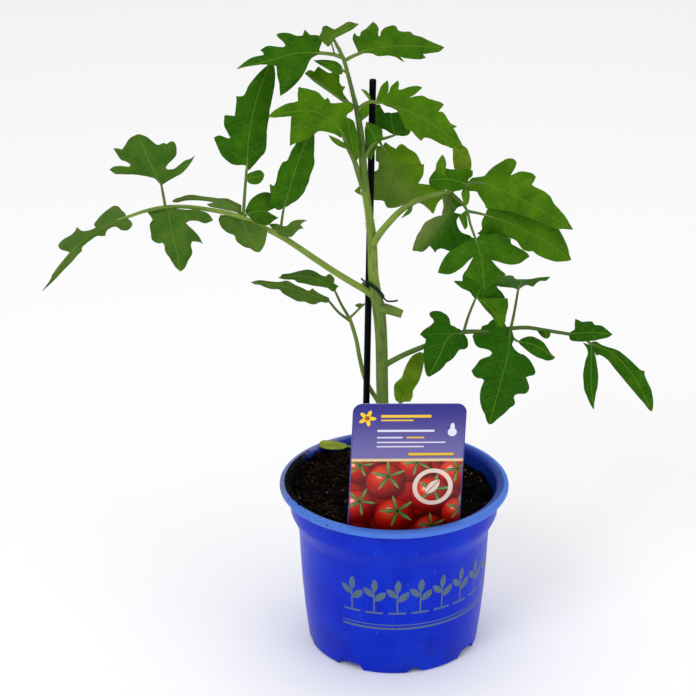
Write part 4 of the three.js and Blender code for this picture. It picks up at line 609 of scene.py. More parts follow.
LEAVES["leaf_upper_left"] = [{
    "path": [
        (-16.5, 155, 0), (-19, 163.2, -1.4), (-20.9, 169.3, -2.4), (-24.2, 176.1, -3.6), (-27.4, 184.6, -5),
    ],
    "radii": [1.3, 1.4, 1.1, 0.9],
}, {
    "rib": [
        (-26.6, 183.4, -5), (-33, 191, -8), (-42, 195.5, -10.5), (-53, 195.6, -13), (-66.5, 192.7, -16),
    ],
    "left": [
        (-28.2, 181.6), (-29.6, 182.6), (-32, 183.8), (-34.6, 184.6), (-39.9, 185.2), (-42.5, 183.2),
        (-46, 180.8), (-51.5, 179), (-55, 177.4), (-54.7, 185), (-54.2, 193), (-60, 192.6), (-63, 192.4),
    ],
    "right": [
        (-24.4, 188), (-24.8, 193.8), (-21.8, 196.2), (-22, 199.2), (-24.6, 200.2), (-27.5, 200.3),
        (-30.6, 199.9), (-33.5, 199.9), (-34, 201.4), (-35, 202.8), (-36.6, 201.7), (-38.4, 203.8),
        (-40, 205.5), (-44, 207), (-50.3, 208.4), (-50.8, 205), (-50.6, 201), (-53, 200.3), (-56, 199.8),
        (-62.5, 196.5),
    ],
    "rise": 0.15, "cup": 0.12, "youth": 0.62,
}, {
    "stalk": [(-21.8, 172.2, -3)],
    "rib": [(-24, 175.4, -5), (-29, 179.2, -7), (-34.5, 183, -9)],
    "left": [(-28, 176.8), (-30.6, 178.2), (-33, 180.4)],
    "right": [(-25.5, 178.4), (-27.6, 179.8), (-30, 181.2)],
    "thick": 0.6, "youth": 0.5, "bloom": 0.1,
}, {
    "rib": [(-20.3, 169, -2.2), (-22.4, 180, -4), (-24.6, 192.4, -6)],
    "left": [(-23.8, 176.6), (-25.8, 181), (-27.8, 184.4), (-27.6, 190)],
    "right": [(-18.4, 172), (-18.4, 177), (-18.8, 182), (-20.4, 187.6), (-21.4, 190.6)],
    "side": -0.1, "thick": 0.5, "youth": 0.5,
}]
LEAVES["leaf_crown_left"] = [{
    "path": [(-20, 197, 0.6), (-22.4, 198.9, 2.4), (-27, 202, 4)],
    "radii": [1, 0.8],
}, {
    "rib": [(-23, 199.4, 3), (-30, 204, 5), (-38, 209.8, 7), (-47, 215.6, 10)],
    "left": [(-26.5, 200.4, 8), (-34, 205.6, 11), (-42, 211.2, 12)],
    "right": [
        (-24.6, 202), (-26, 203.8), (-27, 206), (-25.5, 208.7), (-27.5, 209), (-28.8, 211), (-29, 215),
        (-31.5, 216.3), (-34, 215.8), (-37, 217.3), (-39.8, 219.3), (-41, 218), (-42, 216.5),
        (-44.5, 217.2), (-46.4, 216.2),
    ],
    "rise": 0.25, "thick": 0.6, "youth": 0.7, "bloom": 0.05,
}]
LEAVES["leaf_top_left"] = [{
    "path": [(-27, 223.8, 0.4), (-31, 225.3, -0.6), (-35, 226, -1.2), (-40, 226.4, -1.8)],
    "radii": [1, 0.9],
}, {
    "rib": [(-38.3, 226.3, -1.6), (-50, 226.5, -3), (-66, 222.4, -6), (-83, 218, -9)],
    "left": [
        (-43, 224), (-45.1, 221.2), (-46.5, 217.6), (-48, 215), (-50, 212.3), (-52, 210), (-54.6, 207.4),
        (-57, 205.5), (-60, 203.7), (-60.3, 207), (-60.5, 210), (-61.5, 214), (-61.8, 217), (-62, 219.5),
        (-65, 219.9), (-68, 220.3), (-73, 220), (-79, 219),
    ],
    "right": [
        (-39.4, 228), (-38.2, 231.4), (-38, 233), (-39, 235), (-40.4, 235.7), (-42, 235.8), (-44.5, 236),
        (-46, 237.7), (-47.2, 238.6), (-48.1, 235.5), (-51, 235.3), (-54, 236.3), (-57, 237),
        (-60.5, 236.8), (-62.1, 236), (-61, 234.5), (-58.5, 232.3), (-57.2, 230.5), (-58, 229.5),
        (-62, 229.7), (-67, 230), (-69, 228.9), (-70.6, 227.8), (-69, 226.5), (-68.7, 225.3), (-72, 224.7),
        (-75, 223.8), (-79, 221.3),
    ],
    "rise": 0.2, "cup": 0.12, "youth": 0.2, "bloom": 0.06,
}, {
    "stalk": [(-31.4, 225.4, -0.8), (-32, 228, -2.2)],
    "rib": [(-33, 231.4, -3), (-33.2, 235, -3.4), (-28, 237.8, -3.6), (-18.6, 241.7, -4)],
    "left": [
        (-34.8, 229.6), (-38.4, 232.8), (-40, 234.5), (-38.2, 237.6), (-37.8, 239.8), (-36.8, 240.6),
        (-35.5, 240.7), (-33.4, 239.7), (-31.5, 238.8), (-28, 240.6), (-24, 242.8), (-21, 242.2),
    ],
    "right": [(-31.4, 233.8), (-28, 235.6), (-25, 237.2), (-22, 238.9), (-19.8, 240.6)],
    "thick": 0.5, "youth": 0.45, "bloom": 0.25,
}]
LEAVES["leaf_top_right"] = [{
    "path": [(-26.6, 221.8, 1), (-24, 223.5, 1.2), (-21, 225, 1.8), (-16, 227, 3)],
    "radii": [1, 0.8],
}, {
    "rib": [(-18.6, 226.3, 2.2), (-10, 229, 6), (5, 230, 14), (26.4, 229.2, 26)],
    "left": [
        (-19.4, 228), (-20.5, 230.5), (-21.7, 233.5), (-21.5, 236), (-20.6, 236.9), (-19.5, 235.3),
        (-18, 235.2), (-17.3, 237.5), (-15, 239), (-13.5, 240.5), (-11.2, 242.8), (-9.5, 241.5),
        (-8.2, 239), (-8.5, 236.8), (-8.3, 235), (-7.3, 235.5), (-7, 237.3), (-5, 239.5), (-2.5, 240.5),
        (-0.5, 241), (1, 240.3), (2.2, 238.2), (5, 237.5), (8.5, 237.5), (10, 236), (14.5, 234.7),
        (18, 233), (22, 231.3), (24.8, 230.1),
    ],
    "right": [
        (-16, 226.2), (-11.5, 226), (-8.5, 224.7), (-3, 225), (1, 224.1), (3, 222.8), (5.5, 221.3),
        (4.4, 222.8), (3.2, 224.4), (6, 223.6), (12.5, 223), (15, 223.2), (16.6, 223.9), (15, 225.7),
        (19, 226.3), (24, 227.2),
    ],
    "rise": 0.5, "cup": 0.15, "youth": 0.45, "bloom": 0.05,
}]
LEAVES["seed_leaf_right"] = [{
    "path": [(-6, 32.4, 0.6), (-2, 36, 0.6), (4.6, 43.4, 1)],
    "radii": [1.1, 0.8],
}, {
    "rib": [(4.3, 42.6, 0.8), (7, 52, 3), (13.4, 68.8, 9)],
    "left": [(1.4, 42.7), (0.4, 44.6), (0, 47), (0.4, 52), (4, 55.5), (5.3, 59), (7, 63), (9.8, 67)],
    "right": [
        (8.4, 42.6), (9.6, 45), (10, 48.5), (12, 51.5), (13.3, 54), (15.1, 60.4), (16, 66.7), (15, 68.4),
    ],
    "side": 0.15, "thick": 0.6, "youth": 1.12,
}]
LEAVES["seed_leaf_left"] = [{
    "path": [(-5.9, 9, 1.5), (-12, 14, 15), (-18, 17.4, 25.6), (-25, 19.2, 35.4)],
    "radii": [0.9, 0.7],
}, {
    "rib": [(-24, 19.2, 34.2), (-32, 19.6, 37.6), (-39.5, 19.8, 40)],
    "left": [(-26, 18), (-30, 17.4), (-34, 17.5), (-36.5, 17.9), (-39, 18.9)],
    "right": [(-26, 20.4), (-30, 21.4), (-34, 22), (-37.8, 22), (-39.2, 21)],
    "rise": 2.2, "thick": 0.5, "youth": 1.45,
}]

# Leaf and stalk meshes. A lobe's vein starts past FIRST_VEIN of the rib's length. The veins between start
# VEIN_SPACING apart, before LAST_VEIN of it. VEIN_SLANT, VEIN_LEAN and VEIN_BOW say how far a vein starts
# back, leans ahead and sags for each millimetre that it goes out. WAVE_RUN and RIPPLE_RUN give the angle
# of a blade's waves for each millimetre right and up.
MESH_STEP = 0.8
EDGE_STEP = 0.7
SHARP_TURN = math.radians(62)
LEAST_LOBE = 2.4
LEAST_VEINED = 9.0
VEIN_SPACING = 7.5
VEIN_CLEAR = 0.62
VEIN_SLANT = 0.6
VEIN_LEAN = 0.85
VEIN_BOW = 0.13
VEIN_MARGIN = 0.9
FIRST_VEIN = 0.06
LAST_VEIN = 0.93
NO_VEIN = 20.0
BROAD_BLADE = 12
WAVE = 0.9
WAVE_RUN = (0.341, 0.248)
RIPPLE = 0.4 * WAVE
RIPPLE_RUN = (-0.9, 1.3)
QUILT = 0.42
QUILT_REACH = 1.2
FOLD_LIGHT_REACH = 7.0
UNDER_SLOT = 1
STALK_SLOT = 2
STEM_HAIRS = 3600
HAIR_WIDTH = 0.03 * MM
HAIR_LENGTH = (0.5, 1.3)
HAIR_SLANT = 0.4
RIB_STEP = 2.0
STALK_STEPS = 6
RIB_RADII = (0.55, 0.16)
LONGEST_VEIN = 30

# Soil's loose pieces: lumps and crumbs strewn over it, a bank against the wall and a spill on the lip
LUMP_SIZES = (1.0, 0.8, 1.2)
LUMP_COUNT = 260
LUMP_GROWTH = (0.45, 1.25)
CRUMB_COUNT = 620
CRUMB_GROWTH = (0.25, 0.6)
STREWN_REACH = 50
BANK_COUNT = 460
BANK_GROWTH = (0.4, 0.6)
BANK_TURN = math.radians(182)
BANK_SPREAD = 0.55
BANK_REACH = 49.3
BANK_DEPTH = 3.7
SPILL_COUNT = 150
SPILL_GROWTH = (0.25, 0.45)
SPILL_SPREAD = 0.34
SPILL_REACH = 53.9
SPILL_WIDTH = 3.5
LONG_FIBRE_COUNT = 150
LONG_FIBRE = {"length": (3, 11), "thick": (0.1, 0.32)}
FIBRE_COUNT = 130
FIBRE = {"length": (2, 6), "thick": (0.08, 0.2)}
FIBRE_BOW = 1.2
FIBRE_REACH = 49
FIBRE_LIMIT = 51.5
FIBRE_STEPS = 6

# Where the pot's finish changes: painted light at the lip, painted shade past its crest and down the wall
# inside and its collar
LIP_FOOT = 87.8
LIP_REACH = 55.4
LIP_INSIDE = 88.6
CREST_REACH = 58.2
WALL_REACH = 49.6
COLLAR_FOOT = 66.4
COLLAR_RISE = 9.2
COLLAR_FLARE = 0.45
BARE_WALL = 60

# Pot's print: a row of sprigs between plain lines, in degrees round the pot and millimetres up
PRINT_START = -34.0
PRINT_END = 79.5
SPRIG_TURN = 14.2
SPRIG_HEIGHT = 45.5
LOWER_RULE = 29.0

# Rules on the label: left and right end, height, half thickness, strength and colour from 0 to 255
LABEL_RULES = [
    (-14.5, 11, 63.6, 0.75, 1.0, (240, 196, 45)), (-14.5, 2, 61.3, 0.4, 1.0, (240, 196, 45)),
    (-16, 13, 55.4, 0.6, 0.85, (236, 232, 246)), (-16, -3, 51.6, 0.4, 0.85, (236, 232, 246)),
    (-1, 8, 51.6, 0.4, 1.0, (240, 196, 45)), (-16, 19, 48.9, 0.35, 0.85, (236, 232, 246)),
    (-16, 8, 46.5, 0.35, 0.85, (236, 232, 246)), (0, 24, 42, 1.1, 1.0, (120, 92, 60)),
    (0.4, 23.6, 42.2, 0.7, 1.0, (226, 190, 70)),
]
# How high the label's picture reaches, and the middles of the flower, the drop and the ringed leaf
PICTURE_TOP = 38.4
FLOWER = (-21.5, 62.5)
DROP = (22.2, 54.6)
BADGE = (13.8, 23.6)

# Tomatoes on the label: middle, radius and turn of the green star
TOMATOES = [
    (-25.0, 33.5, 8.2, 0.4), (4.0, 35.0, 9.0, 1.9), (25.0, 31.0, 9.2, 0.9), (-10.5, 26.5, 10.4, 2.2),
    (13.0, 19.0, 10.6, 1.4), (-24.5, 12.5, 9.6, 2.6), (27.5, 9.0, 8.6, 0.2), (-5.0, 6.5, 10.8, 2.0),
    (13.5, -1.5, 8.8, 1.1),
]


# Paths and places


def place(point):
    """A point of the plant, given as (right, up, back) in millimetres, as a place in metres."""
    right, up, back = point
    seen = Vector((right, up * math.sin(VIEW_DROP), VIEW_HEIGHT + up * math.cos(VIEW_DROP)))
    reach = (back - EYE.y) / (seen.y - EYE.y)
    return (EYE + (seen - EYE) * reach) * MM


def curve(points, count_steps):
    """A smooth curve through the given points. count_steps says how many steps lead from one to the next."""
    run = [2 * points[0] - points[1], *points, 2 * points[-1] - points[-2]]
    path = [points[0]]
    for index in range(1, len(run) - 2):
        a, b, c, d = run[index - 1:index + 3]
        ab, bc, cd = (math.sqrt(np.linalg.norm(end - start)) for start, end in ((a, b), (b, c), (c, d)))
        leave = ((b - a) / ab - (c - a) / (ab + bc) + (c - b) / bc) * bc
        arrive = ((c - b) / bc - (d - b) / (bc + cd) + (d - c) / cd) * bc
        steps = count_steps(b, c)
        for step in range(1, steps + 1):
            t = step / steps
            path.append(
                (2 * t ** 3 - 3 * t ** 2 + 1) * b
                + (t ** 3 - 2 * t ** 2 + t) * leave
                + (3 * t ** 2 - 2 * t ** 3) * c
                + (t ** 3 - t ** 2) * arrive
            )
    return path


def smooth_path(points, spacing):
    """Points about spacing apart on a smooth curve through the given ones, which it keeps."""
    points = [np.array(point, float) for point in points]

    def count_steps(start, end):
        """How many even steps there are from start to end."""
        return max(1, round(np.linalg.norm(end - start) / spacing))

    if len(points) == 2:
        steps = count_steps(*points)
        return np.array([points[0] + (points[1] - points[0]) * step / steps for step in range(steps + 1)])
    return np.array(curve(points, count_steps))


def cornered_path(points, spacing):
    """A smooth path that keeps the sharp corners of the points it runs through."""
    pieces = [[points[0]]]
    for index in range(1, len(points)):
        pieces[-1].append(points[index])
        if index + 1 < len(points):
            arrive = Vector(points[index]) - Vector(points[index - 1])
            leave = Vector(points[index + 1]) - Vector(points[index])
            if arrive.length > 0 and leave.length > 0 and arrive.angle(leave) > SHARP_TURN:
                pieces.append([points[index]])
    path = [np.array(points[0], float)]
    for piece in pieces:
        path.extend(smooth_path(piece, spacing)[1:])
    return np.array(path)


def nearest(path, points):
    """For each flat point: how far it is from a path, and the path's nearest point with all its values."""
    start = path[:-1]
    run = path[1:] - path[:-1]
    away = points[:, None, :2] - start[None, :, :2]
    length = np.maximum((run[:, :2] ** 2).sum(1), 1e-12)
    share = np.clip((away * run[None, :, :2]).sum(2) / length, 0, 1)
    distance = np.linalg.norm(away - share[..., None] * run[None, :, :2], axis=2)
    piece = distance.argmin(1)
    rows = np.arange(len(points))
    foot = start[piece] + share[rows, piece, None] * run[piece]
    return distance[rows, piece], foot


def inside(outline, points):
    """Which flat points lie inside a closed flat outline."""
    x, y = points[:, 0, None], points[:, 1, None]
    ax, ay = outline[:, 0], outline[:, 1]
    bx, by = np.roll(ax, -1), np.roll(ay, -1)
    crosses = (ay > y) != (by > y)
    reach = ax + (y - ay) * (bx - ax) / np.where(by == ay, 1e-9, by - ay)
    return (crosses & (x < reach)).sum(1) % 2 == 1


# Leaflets


def side_veins(rib, edge, outline):
    """Veins from the rib to the lobes of one edge, and more of them where the edge has no lobes."""
    points = np.array([point[:2] for point in edge], float)
    distance, foot = nearest(rib, points)
    along = np.concatenate([[0], np.cumsum(np.linalg.norm(np.diff(rib[:, :2], axis=0), axis=1))])
    whole = along[-1]

    def spot(reach):
        """The rib's flat place at a distance along it."""
        return np.array([np.interp(reach, along, rib[:, axis]) for axis in (0, 1)])

    def ahead_at(reach):
        """The way that the rib runs there."""
        return spot(min(reach + 1, whole)) - spot(max(reach - 1, 0))

    def reach_of(point):
        """How far along the rib a point of it lies."""
        return along[np.linalg.norm(rib[:, :2] - point[:2], axis=1).argmin()]

    ends = []
    for index in range(len(points)):
        before = distance[index - 1] if index else 0
        after = distance[index + 1] if index + 1 < len(points) else 0
        if distance[index] > LEAST_LOBE and distance[index] >= before and distance[index] >= after:
            ends.append((reach_of(foot[index]), points[index]))
    starts = [
        max(FIRST_VEIN * whole, reach - VEIN_SLANT * np.linalg.norm(end - spot(reach))) for reach, end in ends
    ]
    turns = [cross(ahead_at(reach), end - spot(reach)) for reach, end in ends]
    mean_side = np.sign(np.mean(turns)) if ends else 1
    for reach in np.arange(VEIN_SPACING * 0.6, whole * LAST_VEIN, VEIN_SPACING):
        if all(abs(reach - start) > VEIN_SPACING * VEIN_CLEAR for start in starts):
            ahead = ahead_at(reach)
            ahead /= np.linalg.norm(ahead)
            away = np.array([-ahead[1], ahead[0]]) * mean_side
            end = spot(reach)
            step = (away + VEIN_LEAN * ahead) * 0.5
            while inside(outline, (end + step)[None])[0] and np.linalg.norm(end - spot(reach)) < LONGEST_VEIN:
                end = end + step
            if np.linalg.norm(end - spot(reach)) > LEAST_LOBE:
                starts.append(reach)
                ends.append((reach, end))
    veins = []
    for start, (_, end) in zip(starts, ends):
        root = spot(start)
        length = np.linalg.norm(end - root)
        if length < LEAST_LOBE:
            continue
        ahead = ahead_at(start)
        ahead /= np.linalg.norm(ahead)
        bend = (root + end) / 2 - VEIN_BOW * length * ahead
        end = end + (root - end) * min(0.3, VEIN_MARGIN / length)
        steps = max(3, round(length / MESH_STEP))
        vein = []
        for step in range(1, steps + 1):
            share = step / steps
            point = (1 - share) ** 2 * root + 2 * share * (1 - share) * bend + share ** 2 * end
            if not inside(outline, point[None])[0]:
                break
            vein.append(point)
        if len(vein) > 2:
            veins.append(np.array([root, *vein]))
    return veins


def cross(a, b):
    """Above 0 where flat step b turns left from flat step a, below 0 where it turns right."""
    return a[0] * b[1] - a[1] * b[0]


def lattice(outline, spacing):
    """A grid of points in even triangles that fills an outline."""
    low = outline.min(0)
    high = outline.max(0)
    rows = []
    for row, up in enumerate(np.arange(low[1], high[1], spacing * math.sqrt(3) / 2)):
        shift = spacing / 2 if row % 2 else 0
        across = np.arange(low[0] + shift, high[0], spacing)
        rows.append(np.stack([across, np.full(len(across), up)], 1))
    return np.concatenate(rows)


def leaflet_sheet(mesh, shape, number):
    """Adds one leaflet's blade to a mesh as a thin sheet, with its folds, veins and quilting."""
    rib = smooth_path(shape["rib"], MESH_STEP)
    base, tip = shape["rib"][0][:2], shape["rib"][-1][:2]
    left = [base, *[point[:2] for point in shape["left"]], tip]
    right = [base, *[point[:2] for point in shape["right"]], tip]
    outline = np.concatenate([cornered_path(left, EDGE_STEP), cornered_path(right, EDGE_STEP)[-2:0:-1]])
    veins = []
    if np.linalg.norm(np.array(base) - np.array(tip)) > LEAST_VEINED:
        veins = [*side_veins(rib, shape["left"], outline), *side_veins(rib, shape["right"], outline)]
    lines = [rib[:, :2], *veins]
    filling = lattice(outline, MESH_STEP)
    filling = filling[inside(outline, filling)]
    clear = nearest(np.concatenate([outline, outline[:1]]), filling)[0] > 0.45 * EDGE_STEP
    for line in lines:
        clear &= nearest(line, filling)[0] > 0.4 * MESH_STEP
    filling = filling[clear]
    points = [outline, *lines, filling]
    edges = []
    start = len(outline)
    for line in lines:
        edges.extend((index, index + 1) for index in range(start, start + len(line) - 1))
        start += len(line)
    found = delaunay_2d_cdt(
        [Vector(point) for part in points for point in part],
        edges,
        [list(range(len(outline)))],
        1,
        1e-5,
        False,
    )
    flat = np.array([tuple(point) for point in found[0]])
    faces = np.array([list(face) for face in found[2]])
    faces = faces[inside(outline, flat[faces].mean(1))].tolist()

    from_rib, foot = nearest(rib, flat)
    from_edge = nearest(np.concatenate([outline, outline[:1]]), flat)[0]
    from_vein = np.full(len(flat), NO_VEIN)
    for vein in veins:
        from_vein = np.minimum(from_vein, nearest(vein, flat)[0])
    rise, side, cup = (shape.get(word, 0) for word in ("rise", "side", "cup"))

    def depth_rule(points, feet, away):
        """How far back points lie by rise, side and cup alone."""
        slant = rise * (points[:, 1] - feet[:, 1]) + side * (points[:, 0] - feet[:, 0])
        return feet[:, 2] + slant + cup * away

    depth = depth_rule(flat, foot, from_rib)
    half = np.sign(side_of(rib, flat))
    set_points = np.array([point for point in [*shape["left"], *shape["right"]] if len(point) == 3])
    spread = from_rib / np.maximum(from_rib + from_edge, 1e-6)
    if len(set_points):
        away, feet = nearest(rib, set_points)
        extra = set_points[:, 2] - depth_rule(set_points, feet, away)
        gap = np.linalg.norm(flat[:, None] - set_points[None, :, :2], axis=2) + 0.3
        same_half = half[:, None] == np.sign(side_of(rib, set_points[:, :2]))[None]
        weight = same_half / gap ** 2
        depth += spread * (weight * extra).sum(1) / np.maximum(weight.sum(1), 1e-9)
    phase = 1.7 * number
    size = min(1.0, from_rib.max() / BROAD_BLADE)
    depth += WAVE * size * spread ** 2 * np.sin(flat @ WAVE_RUN + phase)
    depth += RIPPLE * size * spread ** 3 * np.sin(flat @ RIPPLE_RUN + 2 * phase)
    swell = 1 - np.exp(-np.minimum(from_rib, from_vein) / QUILT_REACH)
    quilt = QUILT * swell * np.minimum(1, from_edge / QUILT_REACH)
    depth += quilt if shape.get("under") else -quilt

    maps = mesh.verts.layers.float_vector["leaf_map"]
    youth = mesh.verts.layers.float["youth"]
    bloom = mesh.verts.layers.float["bloom"]
    corners = []
    # Share across the rib, from one half of the fold to the other, that blends a pair of youth or bloom
    # values: painted light on one half, painted shade on the other.
    fold_light_share = np.interp(from_rib * half, (-FOLD_LIGHT_REACH, FOLD_LIGHT_REACH), (0, 1))
    for point, back, a, b, c, share in zip(flat, depth, from_rib, from_vein, from_edge, fold_light_share):
        corner = mesh.verts.new(place((*point, back)))
        corner[maps] = (a, b, c)
        corner[youth] = tone_of(shape, "youth", share)
        corner[bloom] = tone_of(shape, "bloom", share)
        corners.append(corner)
    for face in faces:
        a, b, c = (flat[index] for index in face)
        turns_left = cross(b - a, c - a) > 0
        if turns_left == bool(shape.get("under")):
            face.reverse()
        mesh.faces.new([corners[index] for index in face]).smooth = True


def tone_of(shape, word, share=0.5):
    """A leaflet's youth or bloom: one value, or one for each side of its rib and share of the way across,
    where a pair paints the light on one half of the fold and the shade on the other.
    """
    value = shape.get(word, 0)
    return value[0] + (value[1] - value[0]) * share if isinstance(value, tuple) else value


def side_of(rib, points):
    """Above 0 for each flat point that lies left of the rib, below 0 for one right of it."""
    distance = np.linalg.norm(points[:, None] - rib[None, :-1, :2], axis=2)
    piece = distance.argmin(1)
    ahead = rib[piece + 1, :2] - rib[piece, :2]
    away = points - rib[piece, :2]
    return cross(ahead.T, away.T)


# Stalks


def tube(mesh, centres, radii, sides, ridges=0.0, tones=(0.0, 0.0), slot=STALK_SLOT):
    """Adds a round tube to a mesh, closed at both ends. ridges is how deep its long grooves are, tones
    how fresh its green is at even steps along it, on the stem also painted shade, and slot the place of its
    finish."""
    maps = mesh.verts.layers.float_vector["stalk_map"]
    youth = mesh.verts.layers.float["youth"]
    fresh = np.interp(np.linspace(0, len(tones) - 1, len(centres)), range(len(tones)), tones)
    across = Vector((0, 1, 0))
    rings = []
    along = 0.0
    for index, (centre, radius) in enumerate(zip(centres, radii)):
        before = centres[max(index - 1, 0)]
        after = centres[min(index + 1, len(centres) - 1)]
        ahead = (after - before).normalized()
        across = (across - ahead * across.dot(ahead)).normalized()
        upward = across.cross(ahead)
        if index:
            along += (centre - centres[index - 1]).length / MM
        ring = []
        for side in range(sides):
            turn = 2 * math.pi * side / sides
            groove = 1 - ridges * (0.5 + 0.5 * math.cos(5 * turn + 0.9)) ** 3
            offset = (across * math.cos(turn) + upward * math.sin(turn)) * radius * groove
            corner = mesh.verts.new(centre + offset)
            corner[maps] = (math.cos(turn), math.sin(turn), along)
            corner[youth] = fresh[index]
            ring.append(corner)
        rings.append(ring)
    for lower, upper in zip(rings, rings[1:]):
        for side in range(sides):
            after = (side + 1) % sides
            face = mesh.faces.new((lower[side], upper[side], upper[after], lower[after]))
            face.smooth = True
            face.material_index = slot
    for ring, end, tone in ((rings[0], centres[0], fresh[0]), (rings[-1][::-1], centres[-1], fresh[-1])):
        middle = mesh.verts.new(end)
        middle[maps] = (0, 0, 0)
        middle[youth] = tone
        for side in range(sides):
            face = mesh.faces.new((middle, ring[side], ring[(side + 1) % sides]))
            face.material_index = slot


def even_radii(radii, count):
    """Radii at count even steps, drawn from a shorter list of them."""
    return np.interp(np.linspace(0, len(radii) - 1, count), range(len(radii)), radii) * MM


def stalk_curve(path):
    """The stalk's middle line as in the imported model, with STALK_STEPS rings from point to point."""
    places = [np.array(place(point)) for point in path]
    return [Vector(point) for point in curve(places, lambda start, end: STALK_STEPS)]


def stalk_tube(mesh, path, radii, tones=(0.4, 0.4), sides=14, ridges=0.0):
    """Adds a stalk along a path of plant points."""
    centres = stalk_curve(path)
    tube(mesh, centres, even_radii(radii, len(centres)), sides, ridges, tones)


def leaflet_rib(mesh, shape):
    """Adds a leaflet's own stalk, which runs on along the back of the blade as its midrib."""
    thick = shape.get("thick", 0.8)
    rib_tone = 0.34 + 0.5 * tone_of(shape, "youth") - 1.1 * tone_of(shape, "bloom")
    rib = smooth_path(shape["rib"], RIB_STEP)
    path = smooth_path([*shape["stalk"], rib[0]], RIB_STEP)[:-1] if "stalk" in shape else []
    centres = [place(point) for point in path]
    radii = list(np.linspace(thick, thick * 0.75, len(path) + 1)[:-1])
    thickest, thinnest = RIB_RADII
    for index, point in enumerate(rib):
        share = index / (len(rib) - 1)
        radius = thinnest + (min(thick * 0.75, thickest) - thinnest) * (1 - share) ** 1.5
        behind = min(1.0, share / 0.12) * (radius * 0.55 + 0.05)
        if shape.get("under"):
            behind = -behind
        centres.append(place((point[0], point[1], point[2] + behind)))
        radii.append(radius)
    tones = [0.25] * len(path) + [rib_tone] * len(rib)
    tube(mesh, centres, [radius * MM for radius in radii], 10, 0.0, tones)


def hairs(mesh, centres, radii, count, seed):
    """Fine hairs that stand out all round a stalk."""
    chance = random.Random(seed)
    thickness = even_radii(radii, len(centres))
    for _ in range(count):
        spot = chance.uniform(0.3, len(centres) - 1.01)
        index = int(spot)
        share = spot - index
        centre = centres[index].lerp(centres[index + 1], share)
        ahead = (centres[index + 1] - centres[index]).normalized()
        side = Vector([chance.gauss(0, 1) for _ in range(3)])
        side = (side - ahead * side.dot(ahead)).normalized()
        radius = thickness[index] * 0.97
        length = chance.uniform(*HAIR_LENGTH) * MM
        root = centre + side * radius
        tip = root + (side + ahead * chance.uniform(-HAIR_SLANT, HAIR_SLANT)).normalized() * length
        across = ahead.cross(side) * HAIR_WIDTH
        upward = ahead * HAIR_WIDTH
        offsets = (across, -0.5 * across + upward, -0.5 * across - upward)
        corners = [mesh.verts.new(root + offset) for offset in offsets]
        point = mesh.verts.new(tip)
        for first, second in ((0, 1), (1, 2), (2, 0)):
            mesh.faces.new((corners[first], corners[second], point)).material_index = STALK_SLOT
        mesh.faces.new(list(reversed(corners))).material_index = STALK_SLOT


# Finishes


def srgb(red, green, blue):
    """A colour as it looks on screen, from 0 to 255, as the linear colour that shaders read."""
    levels = [level / 255 for level in (red, green, blue)]
    linear = [level / 12.92 if level <= 0.04045 else ((level + 0.055) / 1.055) ** 2.4 for level in levels]
    return (*linear, 1.0)


def operation(name):
    """An operation of the Math node, as a method of the value that comes first in it."""
    return lambda self, other=0.0: self.finish.add("ShaderNodeMath", {"operation": name}, {0: self, 1: other})


class Wire:
    """A value that runs between the nodes of a finish. Sums written with it add Math nodes. turn gives
    the angle whose tangent is this value over another. limit and soft say where a step lies and how far
    it reaches to each side."""

    __add__ = __radd__ = operation("ADD")
    __sub__ = operation("SUBTRACT")
    __mul__ = __rmul__ = operation("MULTIPLY")
    __truediv__ = operation("DIVIDE")
    __pow__ = operation("POWER")
    cos = operation("COSINE")
    size = operation("ABSOLUTE")
    repeat = operation("FLOORED_MODULO")
    least = operation("MINIMUM")
    most = operation("MAXIMUM")
    turn = operation("ARCTAN2")

    def __init__(self, finish, socket):
        self.finish = finish
        self.socket = socket

    def __rsub__(self, other):
        return self * -1.0 + other

    def __neg__(self):
        return self * -1.0

    def below(self, limit, soft):
        """1 where the value is under the limit, 0 where it is over, with a soft step between."""
        return self.step(limit + soft, limit - soft)

    def above(self, limit, soft):
        """0 where the value is under the limit, 1 where it is over, with a soft step between."""
        return self.step(limit - soft, limit + soft)

    def step(self, off, on):
        """From 0 at one value to 1 at another, smoothly."""
        return self.finish.add(
            "ShaderNodeMapRange",
            {"interpolation_type": "SMOOTHSTEP"},
            {"Value": self, "From Min": off, "From Max": on},
        )

    def parts(self):
        """The three numbers of a vector."""
        split = self.finish.add("ShaderNodeSeparateXYZ", {}, {0: self})
        return [Wire(self.finish, socket) for socket in split.socket.node.outputs]


